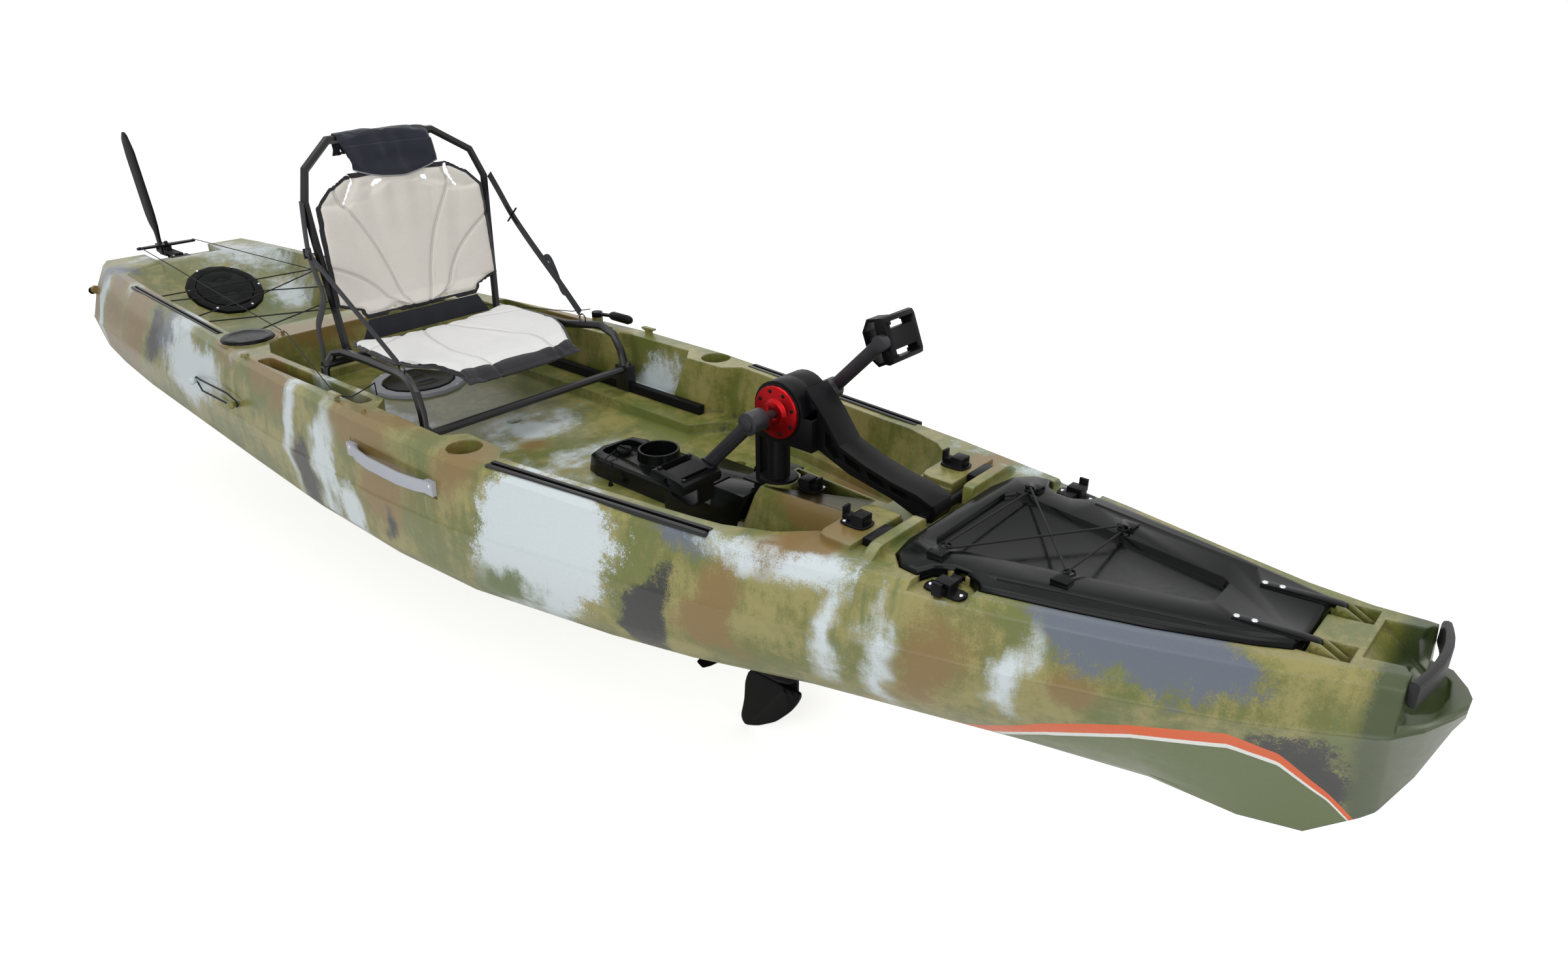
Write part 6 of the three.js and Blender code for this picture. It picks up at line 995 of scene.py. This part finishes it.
for side, node in ((-1, "drive_flange_starboard"), (1, "drive_flange_port")):
    flange = dress(node, red_metal, 0.0008)
    places = []
    for k in range(8):
        a = k * math.pi / 4 + 0.3
        start = hub + Vector((0.044 * math.cos(a), side * 0.2, 0.044 * math.sin(a)))
        hit, place, normal, _ = flange.ray_cast(start, Vector((0, -side, 0)))
        if hit:
            places.append((place, normal))
    screws(node + "_screws", body_name(node), satin_black, 0.0042, 0.002, places)
    bpy.ops.object.select_all(action="DESELECT")
    bpy.ops.mesh.primitive_torus_add(major_radius=0.0553, minor_radius=0.0016, major_segments=72,
                                     minor_segments=10)
    rim = bpy.context.object
    rim.name = node + "_rim"
    rim.data.transform(Matrix.Translation((hub.x, side * 0.0485, hub.z)) @ Matrix.Rotation(math.pi / 2, 4, "X"))
    smooth(rim, 60)
    rim.data.materials.append(satin_black)
    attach(rim, body_name(node))
screws("rudder_bracket_screws", "hull_body", steel, 0.0045, 0.0022,
       set_down(dressed["rudder_bracket"], [(x, y) for x in (-2.022, -2.096) for y in (-0.018, 0.018)], 0.9))
screws("hinge_screws", "bow_lid_body", steel, 0.005, 0.0024,
       set_down(dressed["bow_lid"], [(x, side * 0.063) for x in (1.800, 1.826) for side in (-1, 1)]))
low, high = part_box("side_grip_starboard")
grip_spots = []
for side, node in ((-1, "side_grip_starboard"), (1, "side_grip_port")):
    for x in (low[0] + 0.012, high[0] - 0.012):
        for z in (0.318, 0.330, 0.306):
            hit, place, normal, _ = dressed[node].ray_cast(Vector((x, side * 0.7, z)), Vector((0, -side, 0)))
            if hit and abs(normal.y) > 0.8:
                grip_spots.append((place, normal))
                break
screws("side_grip_screws", "hull_body", steel, 0.0055, 0.0024, grip_spots)

# %% [markdown]
# The last hardware is the drain plug in the stern. It is a turned shape, made from a short profile of
# radius and height, and it is set on the surface that a ray finds.

# %% Drain plug
def turned_piece(name, profile, place, facing, material, body, facets=40):
    """A shape turned round its own axis from a profile of radius and height."""
    shape = bmesh.new()
    rings = [[shape.verts.new((r * math.cos(2 * math.pi * k / facets), r * math.sin(2 * math.pi * k / facets),
                               z)) for k in range(facets)] for r, z in profile]
    for near, far in zip(rings, rings[1:]):
        for k in range(facets):
            shape.faces.new((near[k], near[(k + 1) % facets], far[(k + 1) % facets], far[k]))
    shape.faces.new(rings[0][::-1])
    shape.faces.new(rings[-1])
    upright = Vector(facing).to_track_quat("Z", "Y").to_matrix().to_4x4()
    piece = placed(name, shape, Matrix.Translation(place) @ upright)
    smooth(piece, 30)
    piece.data.materials.append(material)
    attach(piece, body)
    return piece


hit, place, normal, _ = hull_skin.ray_cast(Vector((-2.4, -0.304, 0.297)), Vector((1, 0, 0)))
if hit and place.x < -2.0:
    turned_piece("drain_plug",
                 ((0.013, 0.0), (0.013, 0.002), (0.0095, 0.0028), (0.0095, 0.0045), (0.008, 0.0055),
                  (0.003, 0.0055)),
                 place, normal, satin_black, "hull_body")

# %% [markdown]
# The stage is a white floor under the fin and a plain white sky. For the camera both are at full white,
# and reflections see the white sky too. They light the object less than that, and the lamps stay at a
# level where a colour renders about as it is written.

# %% Stage and lamps
bpy.ops.mesh.primitive_plane_add(size=160, location=(0, 0, solid_box[0][2] - 0.004))
floor = bpy.context.object
floor.name = "floor"
floor_finish = Finish("studio_floor", Base_Color=(0.9, 0.9, 0.9, 1.0), Roughness=0.9, Specular_IOR_Level=0.0)
seen = floor_finish.node("ShaderNodeLightPath", None, out="Is Camera Ray")
glow = floor_finish.node("ShaderNodeEmission", None, (1, 1, 1, 1), seen * 0.62)
mixed = floor_finish.node("ShaderNodeAddShader", None, Flow(floor_finish, floor_finish.shader.outputs[0]),
                          glow)
floor_finish.tree.links.new(mixed.socket, floor_finish.tree.nodes["Material Output"].inputs["Surface"])
floor.data.materials.append(floor_finish.material)
floor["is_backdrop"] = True

sky = bpy.data.worlds.new("sky")
bpy.context.scene.world = sky
sky.use_nodes = True
nodes, links = sky.node_tree.nodes, sky.node_tree.links
path = nodes.new("ShaderNodeLightPath")
bright = nodes.new("ShaderNodeMath")
bright.operation = "MAXIMUM"
links.new(path.outputs["Is Camera Ray"], bright.inputs[0])
links.new(path.outputs["Is Glossy Ray"], bright.inputs[1])
level = nodes.new("ShaderNodeMapRange")
links.new(bright.outputs[0], level.inputs["Value"])
level.inputs["To Min"].default_value = 0.55
level.inputs["To Max"].default_value = 1.0
links.new(level.outputs["Result"], nodes["Background"].inputs["Strength"])
nodes["Background"].inputs["Color"].default_value = (1, 1, 1, 1)


def soft_lamp(name, place, aim, size, power):
    lamp = bpy.data.lights.new(name, "AREA")
    lamp.shape, lamp.size, lamp.energy = "SQUARE", size, power
    holder = bpy.data.objects.new(name, lamp)
    holder.location = place
    holder.rotation_euler = (Vector(aim) - Vector(place)).to_track_quat("-Z", "Y").to_euler()
    bpy.context.scene.collection.objects.link(holder)
    return holder


soft_lamp("overhead", (0.2, 0.6, 4.2), (0.2, 0.0, 0.3), 3.2, 62)
soft_lamp("from_starboard", (1.5, -4.0, 2.0), (0.2, 0.0, 0.3), 2.5, 62)
soft_lamp("from_bow", (5.0, -0.6, 2.4), (0.8, 0.0, 0.3), 2.0, 42)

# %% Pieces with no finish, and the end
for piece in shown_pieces():
    if not piece.data.materials or piece.data.materials[0] is None:
        print("no finish on", piece.name)
